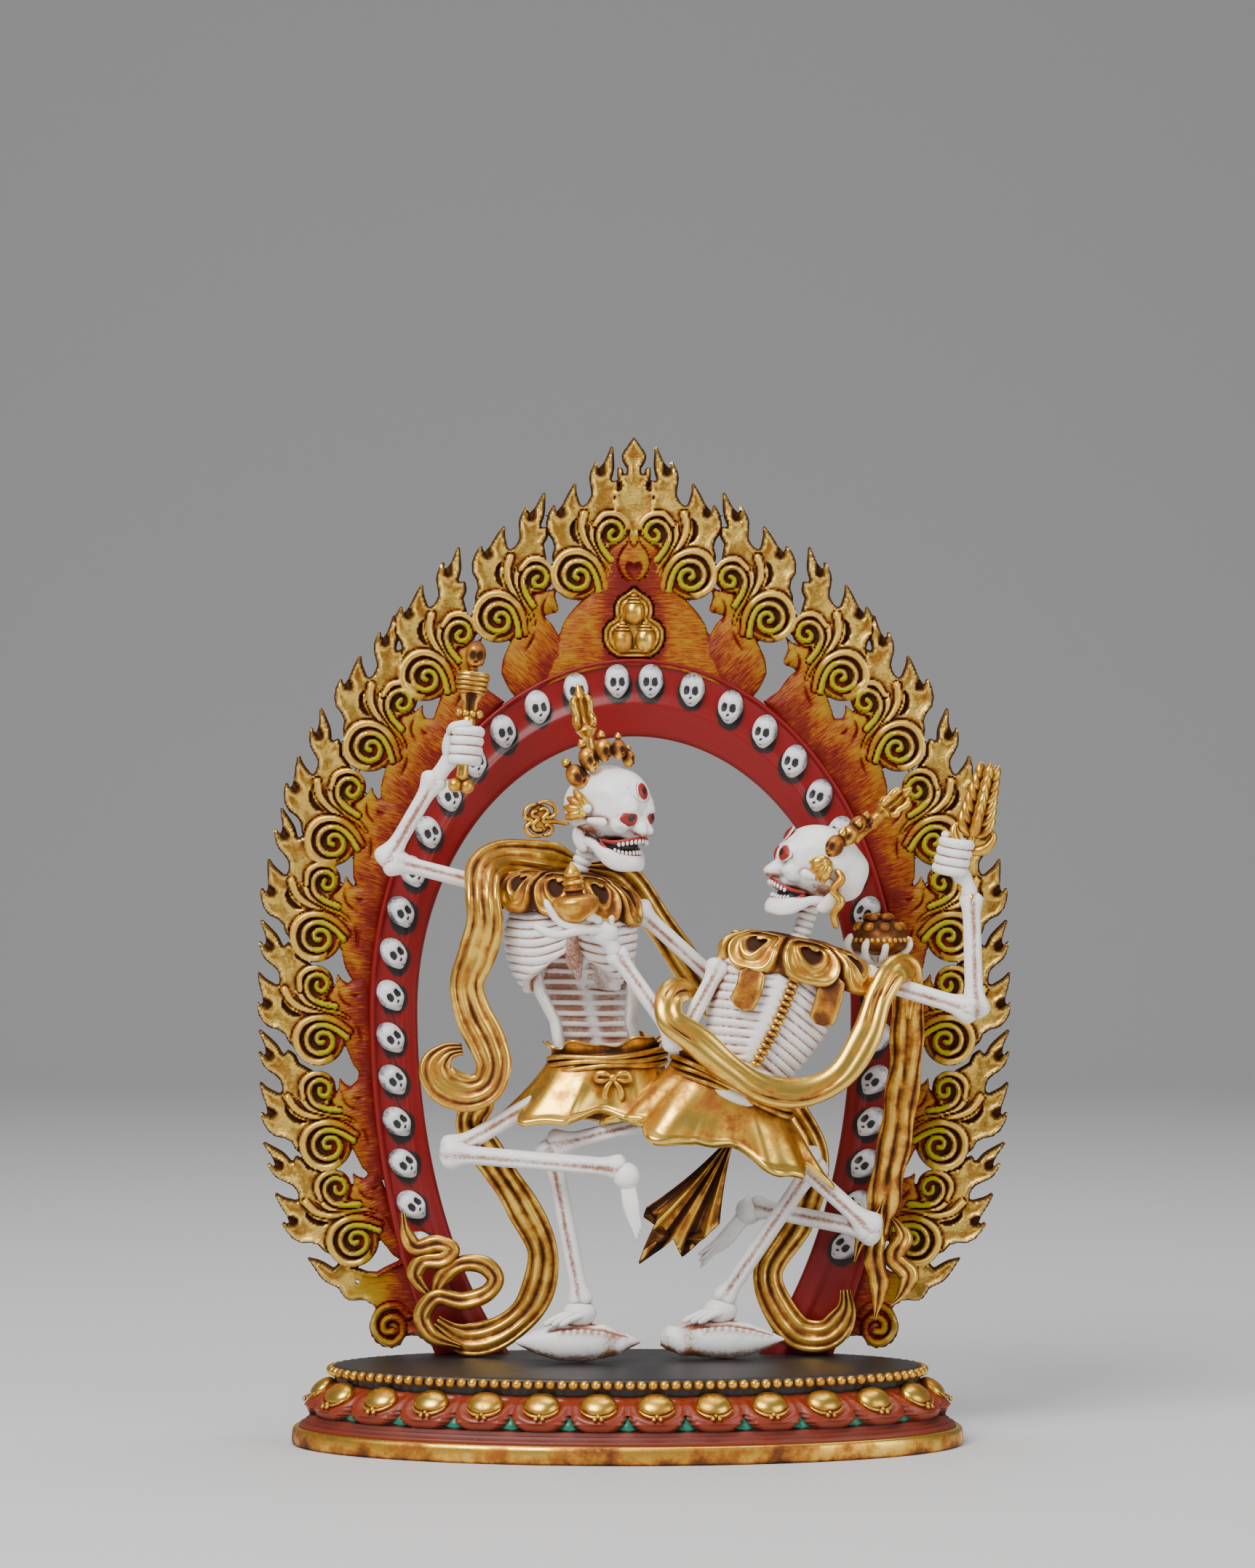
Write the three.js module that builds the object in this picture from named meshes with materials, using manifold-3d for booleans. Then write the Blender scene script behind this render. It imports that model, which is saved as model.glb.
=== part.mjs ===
import * as THREE from "three";
import Module from "manifold-3d";
import { mergeVertices } from "three/addons/utils/BufferGeometryUtils.js";

// A small cast and painted statue: two skeletons dance on shells, on a lotus base, before an arch of flames.
// Millimetres, +Z up. The couple faces -Y. The origin is under the middle, on the surface it stands on.

const wasm = await Module();
wasm.setup();

// Driving sizes of the base
const baseShift = -0.85;
const rimHalfLength = 43;
const rimHalfDepth = 21;
const plateHeight = 10.1;
const petalCount = 26;
const petalRelief = 0.9;
const petalValley = 0.4;
const insetInDepth = 0.88;

// Driving sizes of the arch
const archY = 11;
const archCentreZ = 54.8;
const innerEdge = { side: 28.3, up: 35.8, down: 54.6 };
const outerEdge = { side: 34.5, up: 46, down: 67.9 };
const bandSteps = 27;
const bandTurns = { from: -0.34 * Math.PI, to: 1.34 * Math.PI };
const backY = archY + 1;
const firstSkull = 2.2;
const skullPitch = 5.25;
const skullsPerSide = 18;
const skullShare = 0.4;
const skullSize = { wide: 1.7, deep: 1.1, tall: 2.3, chin: 0.62 };
const skullBack = archY - 0.5;
const plateThick = 1.9;
const reliefThick = 1.7;
const largeVolute = 3.4;
const smallVolute = 2.1;
const voluteSlope = 0.66;
const topZ = 129.8;

// Driving sizes of the bones and of the gaps between the pieces
const shaft = 1.05;
const knob = 1.75;
const gap = 0.25;
const boneSides = 5;
const rods = 5;
const ribRidge = 0.4;
const hemWave = 0.09;
const shellHalfLength = 8;

// Driving sizes of the scarves
const scarfWidth = 4.2;
const scarfThick = 1;
const endTaper = 0.55;

// From geometry to solids and back

/** Three numbers as a vector. */
const at = (p) => new THREE.Vector3(...p);

/** A closed geometry as a solid that can be joined and cut. */
function solid(geometry) {
  const bare = geometry.index ? geometry.toNonIndexed() : geometry.clone();
  bare.deleteAttribute("normal");
  bare.deleteAttribute("uv");
  const merged = mergeVertices(bare, 1e-4);
  const corners = [...merged.index.array];
  const points = merged.attributes.position.array;
  const faces = [];
  for (let i = 0; i < corners.length; i += 3) {
    const [a, b, c] = corners.slice(i, i + 3);
    if (a !== b && b !== c && c !== a) faces.push(a, b, c);
  }
  if (volume(points, faces) < 0) faces.reverse();
  return new wasm.Manifold(new wasm.Mesh({
    numProp: 3,
    vertProperties: new Float32Array(points),
    triVerts: new Uint32Array(faces),
  }));
}

/** Six times the volume inside a closed set of faces, negative where they point inwards. */
function volume(points, faces) {
  const corner = (i) => new THREE.Vector3().fromArray(points, 3 * faces[i]);
  let sum = 0;
  for (let i = 0; i < faces.length; i += 3) {
    sum += corner(i).dot(corner(i + 1).cross(corner(i + 2)));
  }
  return sum;
}

/** Several geometries joined into one solid. */
const joined = (geometries) => geometries.map(solid).reduce((all, next) => all.add(next));

/** A named mesh with its own material, from a solid. */
function mesh(name, body, color, roughness, metalness) {
  const { vertProperties, triVerts, numProp } = body.getMesh();
  const points = new Float32Array((vertProperties.length / numProp) * 3);
  for (let i = 0; i < points.length / 3; i += 1) {
    points.set(vertProperties.subarray(i * numProp, i * numProp + 3), 3 * i);
  }
  const geometry = new THREE.BufferGeometry();
  geometry.setAttribute("position", new THREE.BufferAttribute(points, 3));
  geometry.setIndex([...triVerts]);
  const made = new THREE.Mesh(geometry, new THREE.MeshStandardMaterial({ color, roughness, metalness }));
  made.name = name;
  return made;
}

/** A closed body through rings of equal count, capped flat at each end. */
function loft(rings) {
  const count = rings[0].length;
  const faces = [];
  for (let r = 0; r + 1 < rings.length; r += 1) {
    for (let i = 0; i < count; i += 1) {
      const a = r * count + i;
      const b = r * count + ((i + 1) % count);
      faces.push(a, b, a + count, b, b + count, a + count);
    }
  }
  const last = (rings.length - 1) * count;
  for (let i = 1; i + 1 < count; i += 1) {
    faces.push(0, i + 1, i);
    faces.push(last, last + i, last + i + 1);
  }
  const geometry = new THREE.BufferGeometry().setFromPoints(rings.flat());
  geometry.setIndex(faces);
  return geometry;
}

/** A body of oval rings, each square to the run, with a centre, a half-width and a half-depth. */
function stack(rings, sides, ripple = () => 0) {
  const centres = rings.map((ring) => at(ring.c));
  return loft(rings.map((ring, r) => {
    const before = centres[Math.max(r - 1, 0)];
    const after = centres[Math.min(r + 1, rings.length - 1)];
    const run = after.clone().sub(before).normalize();
    const across = new THREE.Vector3(run.z, 0, -run.x).normalize();
    if (ring.tilt !== undefined) across.set(Math.cos(ring.tilt), 0, Math.sin(ring.tilt));
    const deep = new THREE.Vector3().crossVectors(run, across).normalize();
    return Array.from({ length: sides }, (_, i) => {
      const turn = (2 * Math.PI * i) / sides;
      const swell = 1 + ripple(r, i);
      return centres[r].clone()
        .addScaledVector(across, ring.w * Math.cos(turn) * swell)
        .addScaledVector(deep, ring.d * Math.sin(turn) * swell);
    });
  }));
}

/** A turned body from a to b: its profile gives radii at shares of the length. */
function turned(a, b, profile, sides) {
  const length = at(a).distanceTo(at(b));
  const ends = [[0, 0], ...profile, [0, 1]];
  const outline = ends.map(([radius, share]) => new THREE.Vector2(radius, share * length));
  const geometry = new THREE.LatheGeometry(outline, sides);
  const direction = at(b).sub(at(a)).normalize();
  geometry.applyQuaternion(new THREE.Quaternion().setFromUnitVectors(new THREE.Vector3(0, 1, 0), direction));
  return geometry.translate(...a);
}

/** Two long bones that meet in a knob, with a knob at each far end. */
function limb(a, b, c, grow) {
  const along = (from, to, share, radius) => ({
    c: from.map((value, k) => value + (to[k] - value) * share),
    w: radius + grow,
    d: radius + grow,
  });
  const upper = [[0, knob], [0.18, shaft], [0.84, shaft]];
  const lower = [[-0.04, knob], [0.1, knob], [0.24, shaft], [0.84, shaft], [1.05, knob]];
  return stack([
    ...upper.map(([share, radius]) => along(a, b, share, radius)),
    ...lower.map(([share, radius]) => along(b, c, share, radius)),
  ], boneSides);
}

/** An oval ball, with its half-sizes along X, Y and Z. */
function ball(c, [w, d, h], grow = 0, round = 6, high = 4) {
  const geometry = new THREE.SphereGeometry(1, round, high).rotateX(Math.PI / 2);
  return geometry.scale(w + grow, d + grow, h + grow).translate(...c);
}

/** A flat plate behind the relief, from its outline in X and Z. */
function plate(points) {
  const shape = new THREE.Shape(points.map(([x, z]) => new THREE.Vector2(x, z)));
  const geometry = new THREE.ExtrudeGeometry(shape, { depth: plateThick, bevelEnabled: false });
  return geometry.rotateX(Math.PI / 2).translate(0, backY, 0);
}

/** A flat ribbon along a smooth curve, with its face turned to one side and a raised middle. */
function ribbon(route, steps, width, thick, facing) {
  const curve = new THREE.CatmullRomCurve3(route.map(at), false, "centripetal");
  const section = [[-0.5, 0], [0, 0.5], [0.5, 0], [0, -0.5]];
  const taper = (share) => endTaper + (1 - endTaper) * Math.min(1, 12 * share, 12 * (1 - share));
  return loft(Array.from({ length: steps + 1 }, (_, i) => {
    const share = i / steps;
    const along = curve.getTangentAt(share);
    const across = new THREE.Vector3().crossVectors(along, facing).normalize();
    const out = new THREE.Vector3().crossVectors(across, along).normalize();
    return section.map(([u, v]) => curve.getPointAt(share)
      .addScaledVector(across, u * width * taper(share))
      .addScaledVector(out, v * thick));
  }));
}

// The lotus base

/** Points at equal steps along an oval, as angles. */
function evenAngles(a, b, count) {
  const fine = 2000;
  const lengths = [0];
  for (let i = 1; i <= fine; i += 1) {
    const turn = (2 * Math.PI * (i - 0.5)) / fine;
    lengths.push(lengths[i - 1] + Math.hypot(a * Math.sin(turn), b * Math.cos(turn)));
  }
  return Array.from({ length: count }, (_, i) => {
    const wanted = (lengths[fine] * i) / count;
    return (2 * Math.PI * lengths.findIndex((length) => length >= wanted)) / fine;
  });
}

/** The whole base: each ring is set in from the rim, and the petals swell out in the middle rings. */
function lotusBase() {
  const angles = evenAngles(rimHalfLength, rimHalfDepth, 2 * petalCount);
  const profile = [
    [0, 0, 0], [0, 2.3, 0], [1.4, 3.6, 1], [2.2, 5.8, 1], [3.6, 7.3, 0.9],
    [5.6, 7.8, 0], [4.8, 9.2, 0], [5.2, plateHeight, 0],
  ];
  const rings = profile.map(([inset, height, petal]) => angles.map((turn, i) => {
    const out = (i % 2 === 0 ? 1 : -petalValley) * petal * petalRelief - inset;
    const x = (rimHalfLength + out) * Math.cos(turn) + baseShift;
    return new THREE.Vector3(x, (rimHalfDepth + out * insetInDepth) * Math.sin(turn), height);
  }));
  return solid(loft(rings));
}

// The arch

/** A point on one edge of the horseshoe, by its turn from the right-hand side. */
function edgePoint(edge, turn) {
  const rise = Math.sin(turn) > 0 ? edge.up : edge.down;
  return new THREE.Vector2(edge.side * Math.cos(turn), archCentreZ + rise * Math.sin(turn));
}

/** The red band, with a rim along each edge and a channel for the skulls between them. */
function band() {
  const front = [[0, 1.2], [0.12, 1.2], [0.18, 0.6], [0.64, 0.6], [0.7, 1.15], [1, 0.5]];
  const rings = [];
  for (let i = 0; i <= bandSteps; i += 1) {
    const turn = THREE.MathUtils.lerp(bandTurns.from, bandTurns.to, i / bandSteps);
    const outer = edgePoint(outerEdge, turn);
    const inner = edgePoint(innerEdge, turn);
    const place = (share, y) => new THREE.Vector3(
      outer.x + (inner.x - outer.x) * share, y, outer.y + (inner.y - outer.y) * share);
    rings.push([...front.map(([share, out]) => place(share, archY - out)), place(1, backY), place(0, backY)]);
  }
  return loft(rings);
}

/** The small skulls, at equal steps along the channel from the crown of the arch. */
function bandSkulls() {
  const places = [];
  let run = 0;
  let last = null;
  let next = firstSkull;
  for (let turn = Math.PI / 2; turn > bandTurns.from && places.length < skullsPerSide; turn -= 0.002) {
    const here = edgePoint(outerEdge, turn).lerp(edgePoint(innerEdge, turn), skullShare);
    if (last) run += here.distanceTo(last);
    last = here;
    if (run >= next) {
      places.push({ here, lean: (Math.PI / 2 - turn) / 2 });
      next += skullPitch;
    }
  }
  const { wide, deep, tall, chin } = skullSize;
  const skull = ({ here, lean }, side) => new THREE.CylinderGeometry(chin, 1, 1, 4)
    .rotateY(Math.PI / 4)
    .scale(wide, deep, tall)
    .rotateX(Math.PI / 2)
    .rotateY(side * lean)
    .translate(side * here.x, skullBack - deep / 2, here.y);
  return [-1, 1].flatMap((side) => places.map((place) => skull(place, side)));
}

// Each flame unit hangs between a small and a large volute. Their centres on the left, from the crown down:
const largeCentres = [[-7.1, 111.5], [-17.4, 105.9], [-26.9, 98.3], [-34.2, 89.1], [-39.1, 76.9], [-41, 64.5],
  [-40.6, 51.1], [-39.7, 37.4], [-36.2, 25]];
const smallCentres = [[-2.6, 117.2], [-12.7, 110.9], [-22.3, 104.3], [-30.2, 95.1], [-36.9, 83.5],
  [-40.1, 71.4], [-41, 58.3], [-40.6, 44.2], [-38.4, 31.1]];

// The unit's own outline: u is outwards and v is back along the arch, from the centre of the large volute.
const flameEdge = [[3.6, -0.6], [4.9, 1.4], [7.3, 2.2], [8.3, 5.1], [7.5, 5.2], [7.9, 9], [5.4, 7.4],
  [7.1, 11.2], [7.5, 13], [6.7, 12.6], [7.1, 15.8], [4.4, 12.4], [2.8, 10.9], [1, 10.7]];

/** How far the volute's centre lies from the band, inwards along the unit's own direction. */
function reach(centre, inwards) {
  const inside = (p) => {
    const rise = p.y > archCentreZ ? outerEdge.up : outerEdge.down;
    return (p.x / outerEdge.side) ** 2 + ((p.y - archCentreZ) / rise) ** 2 < 1;
  };
  let far = 0;
  while (far < 16 && !inside(centre.clone().addScaledVector(inwards, far))) far += 0.1;
  return far;
}

/** One unit of flames as a flat plate with its volutes raised on it. */
function flameUnit(large, small, side) {
  const centre = new THREE.Vector2(side * large[0], large[1]);
  const back = new THREE.Vector2(side * small[0], small[1]).sub(centre).normalize();
  const out = new THREE.Vector2(-back.y, back.x).multiplyScalar(side);
  const root = -reach(centre, out.clone().negate()) - 0.6;
  const place = ([u, v]) => centre.clone().addScaledVector(out, u).addScaledVector(back, v).toArray();
  const leaf = [[-1.1, 8.2], [-2, 8.8], [-3.4, 7.6], [root, 8.4], [root, -6], [-3.6, -5.6], [-2.2, -3],
    [0, -2]];
  const volute = (spot, radius, sides) => {
    const [x, z] = place(spot);
    const profile = [[radius, 0], [radius * voluteSlope, 1]];
    return turned([x, archY, z], [x, archY - reliefThick, z], profile, sides);
  };
  return [
    plate([...flameEdge, ...leaf].map(place)),
    volute([0.4, 0], largeVolute, 5),
    volute([0.5, 7.6], smallVolute, 4),
  ];
}

/** The flame at the crown: a spade with a barb on each side. */
function crownFlame() {
  const half = [[0, topZ], [1.3, 127.2], [1.8, 127.5], [1.5, 125.2], [0.9, 124.2], [1.9, 124], [2.8, 121.8],
    [3, 119], [2.4, 114], [2.6, 108]];
  return plate([...half, ...half.slice(1).reverse().map(([x, z]) => [-x, z])]);
}

/** Three oval jewels on a trefoil, over the crown of the band. */
function jewels() {
  const spots = [[0, 108], [-1.9, 103.6], [1.9, 103.6]];
  const front = archY - reliefThick;
  return [
    ...spots.map(([x, z]) => ball([x, front, z], [1.5, 1.2, 2.1], 0, 5, 4)),
    turned([0, archY, 105.2], [0, front, 105.2], [[4.4, 0], [3.8, 1]], 6),
  ];
}

/** The curled leaf at each foot of the arch, with one flame and a round curl. */
function footLeaf(side) {
  const outline = [[-24, 10], [-29.2, 12.6], [-30, 11.4], [-32, 10.8], [-34, 11.8], [-34.6, 14.2],
    [-33.6, 16], [-37.4, 17], [-38.6, 18.6], [-40.2, 19.2], [-42.7, 22.6], [-39.2, 21.2], [-38.6, 23],
    [-36, 21.4], [-32.4, 21], [-30, 20], [-28, 23]];
  return plate(outline.map(([x, z]) => [-side * x, z]));
}

/** Everything in the arch, cut off flat just over the plate. */
function flameArch() {
  const parts = [band(), crownFlame(), footLeaf(-1), footLeaf(1), ...jewels(), ...bandSkulls()];
  largeCentres.forEach((large, i) => {
    parts.push(...flameUnit(large, smallCentres[i], 1), ...flameUnit(large, smallCentres[i], -1));
  });
  const cut = 40;
  const under = new THREE.BoxGeometry(200, 60, cut).translate(0, archY, plateHeight + gap - cut / 2);
  return joined(parts).subtract(solid(under));
}

// The skeletons

/** A rib cage and the loins under it: a barrel with a ridge for each rib. */
function ribCage({ top, bottom, halfWidths, depth, ribs, waist }, grow) {
  const rings = [];
  for (let i = 0; i <= 2 * ribs; i += 1) {
    const share = i / (2 * ribs);
    const place = share * (halfWidths.length - 1);
    const low = Math.min(Math.floor(place), halfWidths.length - 2);
    const width = halfWidths[low] + (halfWidths[low + 1] - halfWidths[low]) * (place - low);
    const ridge = (i % 2) * ribRidge + grow;
    const c = top.map((value, k) => value + (bottom[k] - value) * share);
    rings.push({ c, w: width + ridge, d: width * depth + ridge });
  }
  return stack([...rings, wider(waist, grow)], 8);
}

/** An oval ring, grown on every side. */
const wider = ({ c, w, d, tilt }, grow) => ({ c, w: w + grow, d: d + grow, tilt });

/** A gathered skirt, from waist to a hem that waves. */
function skirt(rings, grow) {
  const wave = (r, i) => (r / (rings.length - 1)) ** 2 * hemWave * (i % 2 === 0 ? 1 : -1);
  return stack(rings.map((ring) => wider(ring, grow)), 14, wave);
}

/** A shell lying on its side, pointed at both ends. */
function shell([x, y, z], high, grow) {
  const profile = [[0.25, 0], [0.9, 0.25], [1, 0.55], [0.3, 1]];
  const outline = profile.map(([radius, share]) => [radius * high + grow, share]);
  return turned([x - shellHalfLength, y, z], [x + shellHalfLength, y, z], outline, 7);
}

/** A turned body, grown on every side. */
function spun(from, to, profile, grow, sides = rods) {
  return turned(from, to, profile.map(([radius, share]) => [radius + grow, share]), sides);
}

/** Five skulls and a turned finial on the head. */
function crown(spots, from, to, grow) {
  const finial = [[0.8, 0], [0.8, 0.4], [1.5, 0.6], [1.4, 0.82], [0.5, 0.95]];
  return [...spots.map((spot) => ball(spot, [1.1, 1.1, 2], grow, 4, 3)), spun(from, to, finial, grow)];
}

/** A foot that points down, with its toes together. */
const foot = (ankle, toe, grow) => spun(ankle, toe, [[1.3, 0], [1.5, 0.35], [0.9, 1]], grow);

/** A hand as a palm with straight fingers. */
function hand(palm, tips, grow) {
  const fingers = tips.map((tip) => spun(palm, tip, [[0.5, 0], [0.4, 1]], grow, 4));
  return [ball(palm, [1.8, 1.3, 1.7], grow), ...fingers];
}

/** The left-hand figure, seen from the front. */
function father(grow) {
  const arms = [
    limb([-15.4, 1, 70.2], [-31.5, -0.5, 74.7], [-25.4, -1.5, 85], grow),
    limb([0.4, 2, 68.6], [15.9, 6.6, 54.1], [29.6, 5.2, 62], grow),
    spun([-25.4, -1.5, 85], [-21.9, -2, 89.3], [[1, 0], [1.4, 1]], grow),
    ball([-21.9, -2, 89.3], [2.6, 2, 2.5], grow),
    ball([31.4, 4.2, 61.8], [2.4, 1.6, 1.2], grow, 5, 4),
  ];
  const legs = [
    limb([-9.5, 1.5, 45.9], [-24.2, -3, 37.2], [-1.3, -5.5, 35.1], grow),
    limb([1.5, 4, 45.7], [23.4, 5.5, 35.3], [11.4, 5.7, 17.4], grow),
    foot([-1.3, -5.5, 35.1], [0.5, -6, 26.6], grow),
    ball([11, 5.6, 16.4], [2.2, 1.6, 2], grow, 5, 4),
    shell([11.4, 5.4, 12.8], 2.5, grow),
  ];
  const club = [[1.1, 0.02], [0.6, 0.12], [0.7, 0.48], [1.5, 0.53], [0.8, 0.6], [2, 0.66], [2, 0.78],
    [0.6, 0.8], [1.4, 0.9]];
  const cup = [[62.6, 1.6, 1.6], [64.4, 4, 3], [65.4, 3.5, 2.7], [67, 1.6, 1.3]];
  const held = [
    spun([-22.2, -2.2, 83.8], [-20, -2.2, 103.2], club, grow),
    stack(cup.map(([z, w, d]) => wider({ c: [31.6, 3.8, z], w, d }, grow)), 7),
  ];
  const head = [
    ball([-2.4, 0.6, 81.9], [4.2, 4.6, 4.7], grow, 8, 5),
    ball([-1, -1.4, 78.4], [3, 3.4, 2.6], grow),
    ball([-1.4, -1.4, 74.6], [2.2, 2.8, 1.1], grow, 5, 4),
    ball([-3.2, -0.2, 76.4], [1.2, 1.6, 2.6], grow, 5, 4),
    spun([-4.6, 1, 80], [-8.2, 1.5, 70], [[1.1, 0], [1.1, 1]], grow),
    ball([-7, -0.6, 80.9], [1.7, 1.6, 2], grow, 5, 4),
    spun([-6, 0.4, 79.4], [-14.2, 0.4, 80], [[0.5, 0.4], [2.4, 0.55], [2.2, 0.9]], grow),
    ...crown([[-6.5, -0.4, 84.9], [-5.3, -1, 86.6], [-3.8, -1.4, 87.6], [-2.1, -1.4, 87.8], [-0.8, -0.8, 87]],
      [-4.6, 1, 84.6], [-7.3, 1, 97.4], grow),
  ];
  const collar = [
    { c: [-8.4, 1.4, 73], w: 4, d: 2.4, tilt: -0.12 },
    { c: [-8.5, 1, 71.4], w: 9.2, d: 4.6, tilt: -0.12 },
    { c: [-8.4, 1, 67.8], w: 8.6, d: 5.3, tilt: -0.12 },
  ];
  const skirtRings = [
    { c: [-3.7, 2.2, 53.2], w: 6.8, d: 3.9, tilt: 0 },
    { c: [-4.2, 2.2, 51.2], w: 6.2, d: 3.7, tilt: 0 },
    { c: [-4.8, 2, 46.8], w: 8.4, d: 4.6, tilt: -0.05 },
    { c: [-5.2, 1.6, 42.2], w: 11.2, d: 5.6, tilt: -0.1 },
  ];
  const ribs = {
    top: [-8.3, 1.5, 69.8],
    bottom: [-8, 1.6, 57.4],
    halfWidths: [6.4, 7.6, 8, 7.4, 5.6],
    depth: 0.6,
    ribs: 4,
    waist: { c: [-4.8, 2.4, 51], w: 5.2, d: 2.6 },
  };
  const body = [
    ribCage(ribs, grow),
    stack(collar.map((ring) => wider(ring, grow)), 10),
    skirt(skirtRings, grow),
  ];
  return [...arms, ...legs, ...held, ...head, ...body];
}

/** The right-hand figure, seen from behind. */
function mother(grow) {
  const palm = [-5.2, -7.2, 66];
  const arms = [
    limb([11, -3, 61.5], [5.7, -6, 51.6], [-2.6, -6.6, 63.2], grow),
    limb([29.9, -1, 59.6], [43.6, -2, 55.4], [43.1, -1, 70.4], grow),
    spun([-2.6, -6.6, 63.2], palm, [[1, 0], [1.3, 1]], grow),
    ...hand(palm, [[-12.6, -6.6, 65.6], [-9.8, -8.6, 69.2], [-11.6, -7.6, 67.6]], grow),
    spun([43.1, -1, 70.4], [40.5, -1, 74.9], [[1, 0], [1.4, 1]], grow),
    ball([40.5, -1, 74.9], [2.2, 1.9, 2.9], grow),
  ];
  const legs = [
    limb([5.4, -0.5, 42.3], [-10.8, 0, 37.7], [-6.8, 1.4, 17.6], grow),
    limb([17.5, -2, 39.6], [30.9, 1, 26.8], [15.4, 8.6, 29.2], grow),
    foot([15.4, 8.6, 29.2], [8.7, 8.2, 21.8], grow),
    ball([-7, 1.2, 16.6], [2, 1.6, 2], grow, 5, 4),
    shell([-7.2, 1.5, 12.9], 2.6, grow),
  ];
  const vase = [[1.2, 0], [2.6, 0.3], [2.6, 0.42], [1, 0.58], [1.5, 0.66], [0.9, 0.76]];
  const grain = [[0.4, 0], [0.4, 0.4], [1.6, 0.5], [1.9, 0.66], [1.4, 0.84], [0.4, 1]];
  const held = [
    spun([-6.9, -7.2, 66], [-8, -7.2, 75], vase, grow),
    spun([41.2, -1.2, 72], [45.4, -1, 87.6], grain, grow),
  ];
  const head = [
    ball([24.4, -1, 74.6], [4.8, 4.2, 4.5], grow, 8, 5),
    ball([19.6, -1.4, 73.4], [2.9, 2.8, 2.7], grow),
    ball([19.4, -1.4, 69], [2.8, 2.2, 1], grow, 5, 4),
    ball([21.9, -1.4, 70.6], [1.5, 2, 2.6], grow, 5, 4),
    spun([23.4, -1.2, 72], [20.4, -1.5, 62], [[1.1, 0], [1.1, 1]], grow),
    ball([24.6, -4.6, 73], [1.7, 1.2, 1.9], grow, 5, 4),
    spun([25.8, -4.6, 74], [25.8, -4.6, 65.6], [[0.5, 0], [1, 0.3], [0.8, 1]], grow),
    ...crown([[21.6, -2.4, 78], [23.8, -4, 77.2], [26, -4, 76.8], [27.6, -2.2, 77.4], [25, 0.8, 78.6]],
      [27.2, -1, 76.6], [36.6, -1, 84], grow),
  ];
  const collar = [
    { c: [21, -1.4, 64.2], w: 4.4, d: 2.4, tilt: -0.33 },
    { c: [20.4, -1.7, 62], w: 10, d: 4.5, tilt: -0.33 },
    { c: [19.4, -1.7, 58.8], w: 9.2, d: 5.1, tilt: -0.33 },
  ];
  const skirtRings = [
    { c: [13, -1.6, 48], w: 8.4, d: 4.3, tilt: -0.38 },
    { c: [12.2, -1.6, 45.6], w: 7.8, d: 4, tilt: -0.38 },
    { c: [11.4, -1.6, 42.4], w: 10.4, d: 4.8, tilt: -0.3 },
    { c: [11, -1.4, 38.2], w: 13.6, d: 5.2, tilt: -0.26 },
  ];
  const ribs = {
    top: [19.6, -1.5, 61.4],
    bottom: [14, -1.8, 48.4],
    halfWidths: [7.6, 8.2, 7.8, 6.8, 5.4],
    depth: 0.56,
    ribs: 4,
    waist: { c: [11.8, -1.6, 44.8], w: 5.4, d: 2.8 },
  };
  const sashEnd = [[12, 2.4, 38], [9, 3, 32], [4.6, 2.6, 26.6], [1.4, 2.2, 22.8]];
  const body = [
    ribCage(ribs, grow),
    stack(collar.map((ring) => wider(ring, grow)), 10),
    skirt(skirtRings, grow),
    ribbon(sashEnd, 4, 5 + grow, 1.2 + grow, new THREE.Vector3(0, -1, 0)),
  ];
  return [...arms, ...legs, ...held, ...head, ...body];
}

// The scarves: each route is the middle line of the cloth

const overShoulder = [[-6.2, 6.6, 73.6], [-12.4, 5.6, 75.4], [-18.6, 2.6, 76], [-21.4, -2.2, 73],
  [-21.9, -3.6, 66.6], [-22.4, -3, 60.1], [-20.4, -2.6, 54.5], [-17.6, -2.6, 50.3], [-18.2, -3, 46.2],
  [-21.4, -3.2, 45], [-24.6, -3.2, 46.9], [-24.4, -3, 49.9], [-21.9, -3, 51]];
const leftTail = [[-18.4, -2.6, 47.6], [-20, -1, 43.6], [-20.9, 1.8, 40.4], [-18, 4, 35.4], [-14.4, 5, 29.7],
  [-11.8, 6.2, 23.5], [-13.4, 7, 16.8], [-17.6, 7, 13.2], [-22.1, 7.2, 12.6], [-26.4, 7.2, 15.2],
  [-27.4, 7, 19.1], [-24.7, 6.6, 22.2], [-20.6, 6.4, 21.4]];
const rightTail = [[-6.2, 6.6, 73.6], [-1.8, 6.8, 72.6], [3.2, 7.6, 66.3], [8.2, 9.4, 58.9], [14.5, 10, 50.2],
  [20.1, 10, 42.4], [23.4, 9.8, 36], [21.4, 9.6, 27.7], [17.4, 9, 20.8], [18.8, 8.4, 16.2], [21.6, 8.2, 13],
  [25.2, 7.6, 13], [27.4, 7.4, 15.9], [27.4, 7.4, 18.8]];
const motherRoute = [[8.4, -1.6, 57.4], [6.2, -3.4, 58.2], [4.4, -7, 57], [4.6, -8.4, 54.6],
  [7.7, -8.6, 52.2], [11.8, -8.2, 48.6], [16.4, -7.9, 45.8], [21.5, -7.5, 45.4], [26.1, -6.8, 47.5],
  [29.4, -5.8, 52.4], [31.2, -4.2, 57.4], [33.2, -2.6, 60.4], [35, 0.4, 60.4], [35.2, 2.8, 54.2],
  [34.5, 3.6, 46.7], [33.4, 3.8, 36.4], [33.2, 4.6, 29.8], [32.6, 5.2, 24.1], [32, 6, 17.4]];

const towardsFront = new THREE.Vector3(0, -1, 0.25);
const scarf = (route, steps) => ribbon(route, steps, scarfWidth, scarfThick, towardsFront);

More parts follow.
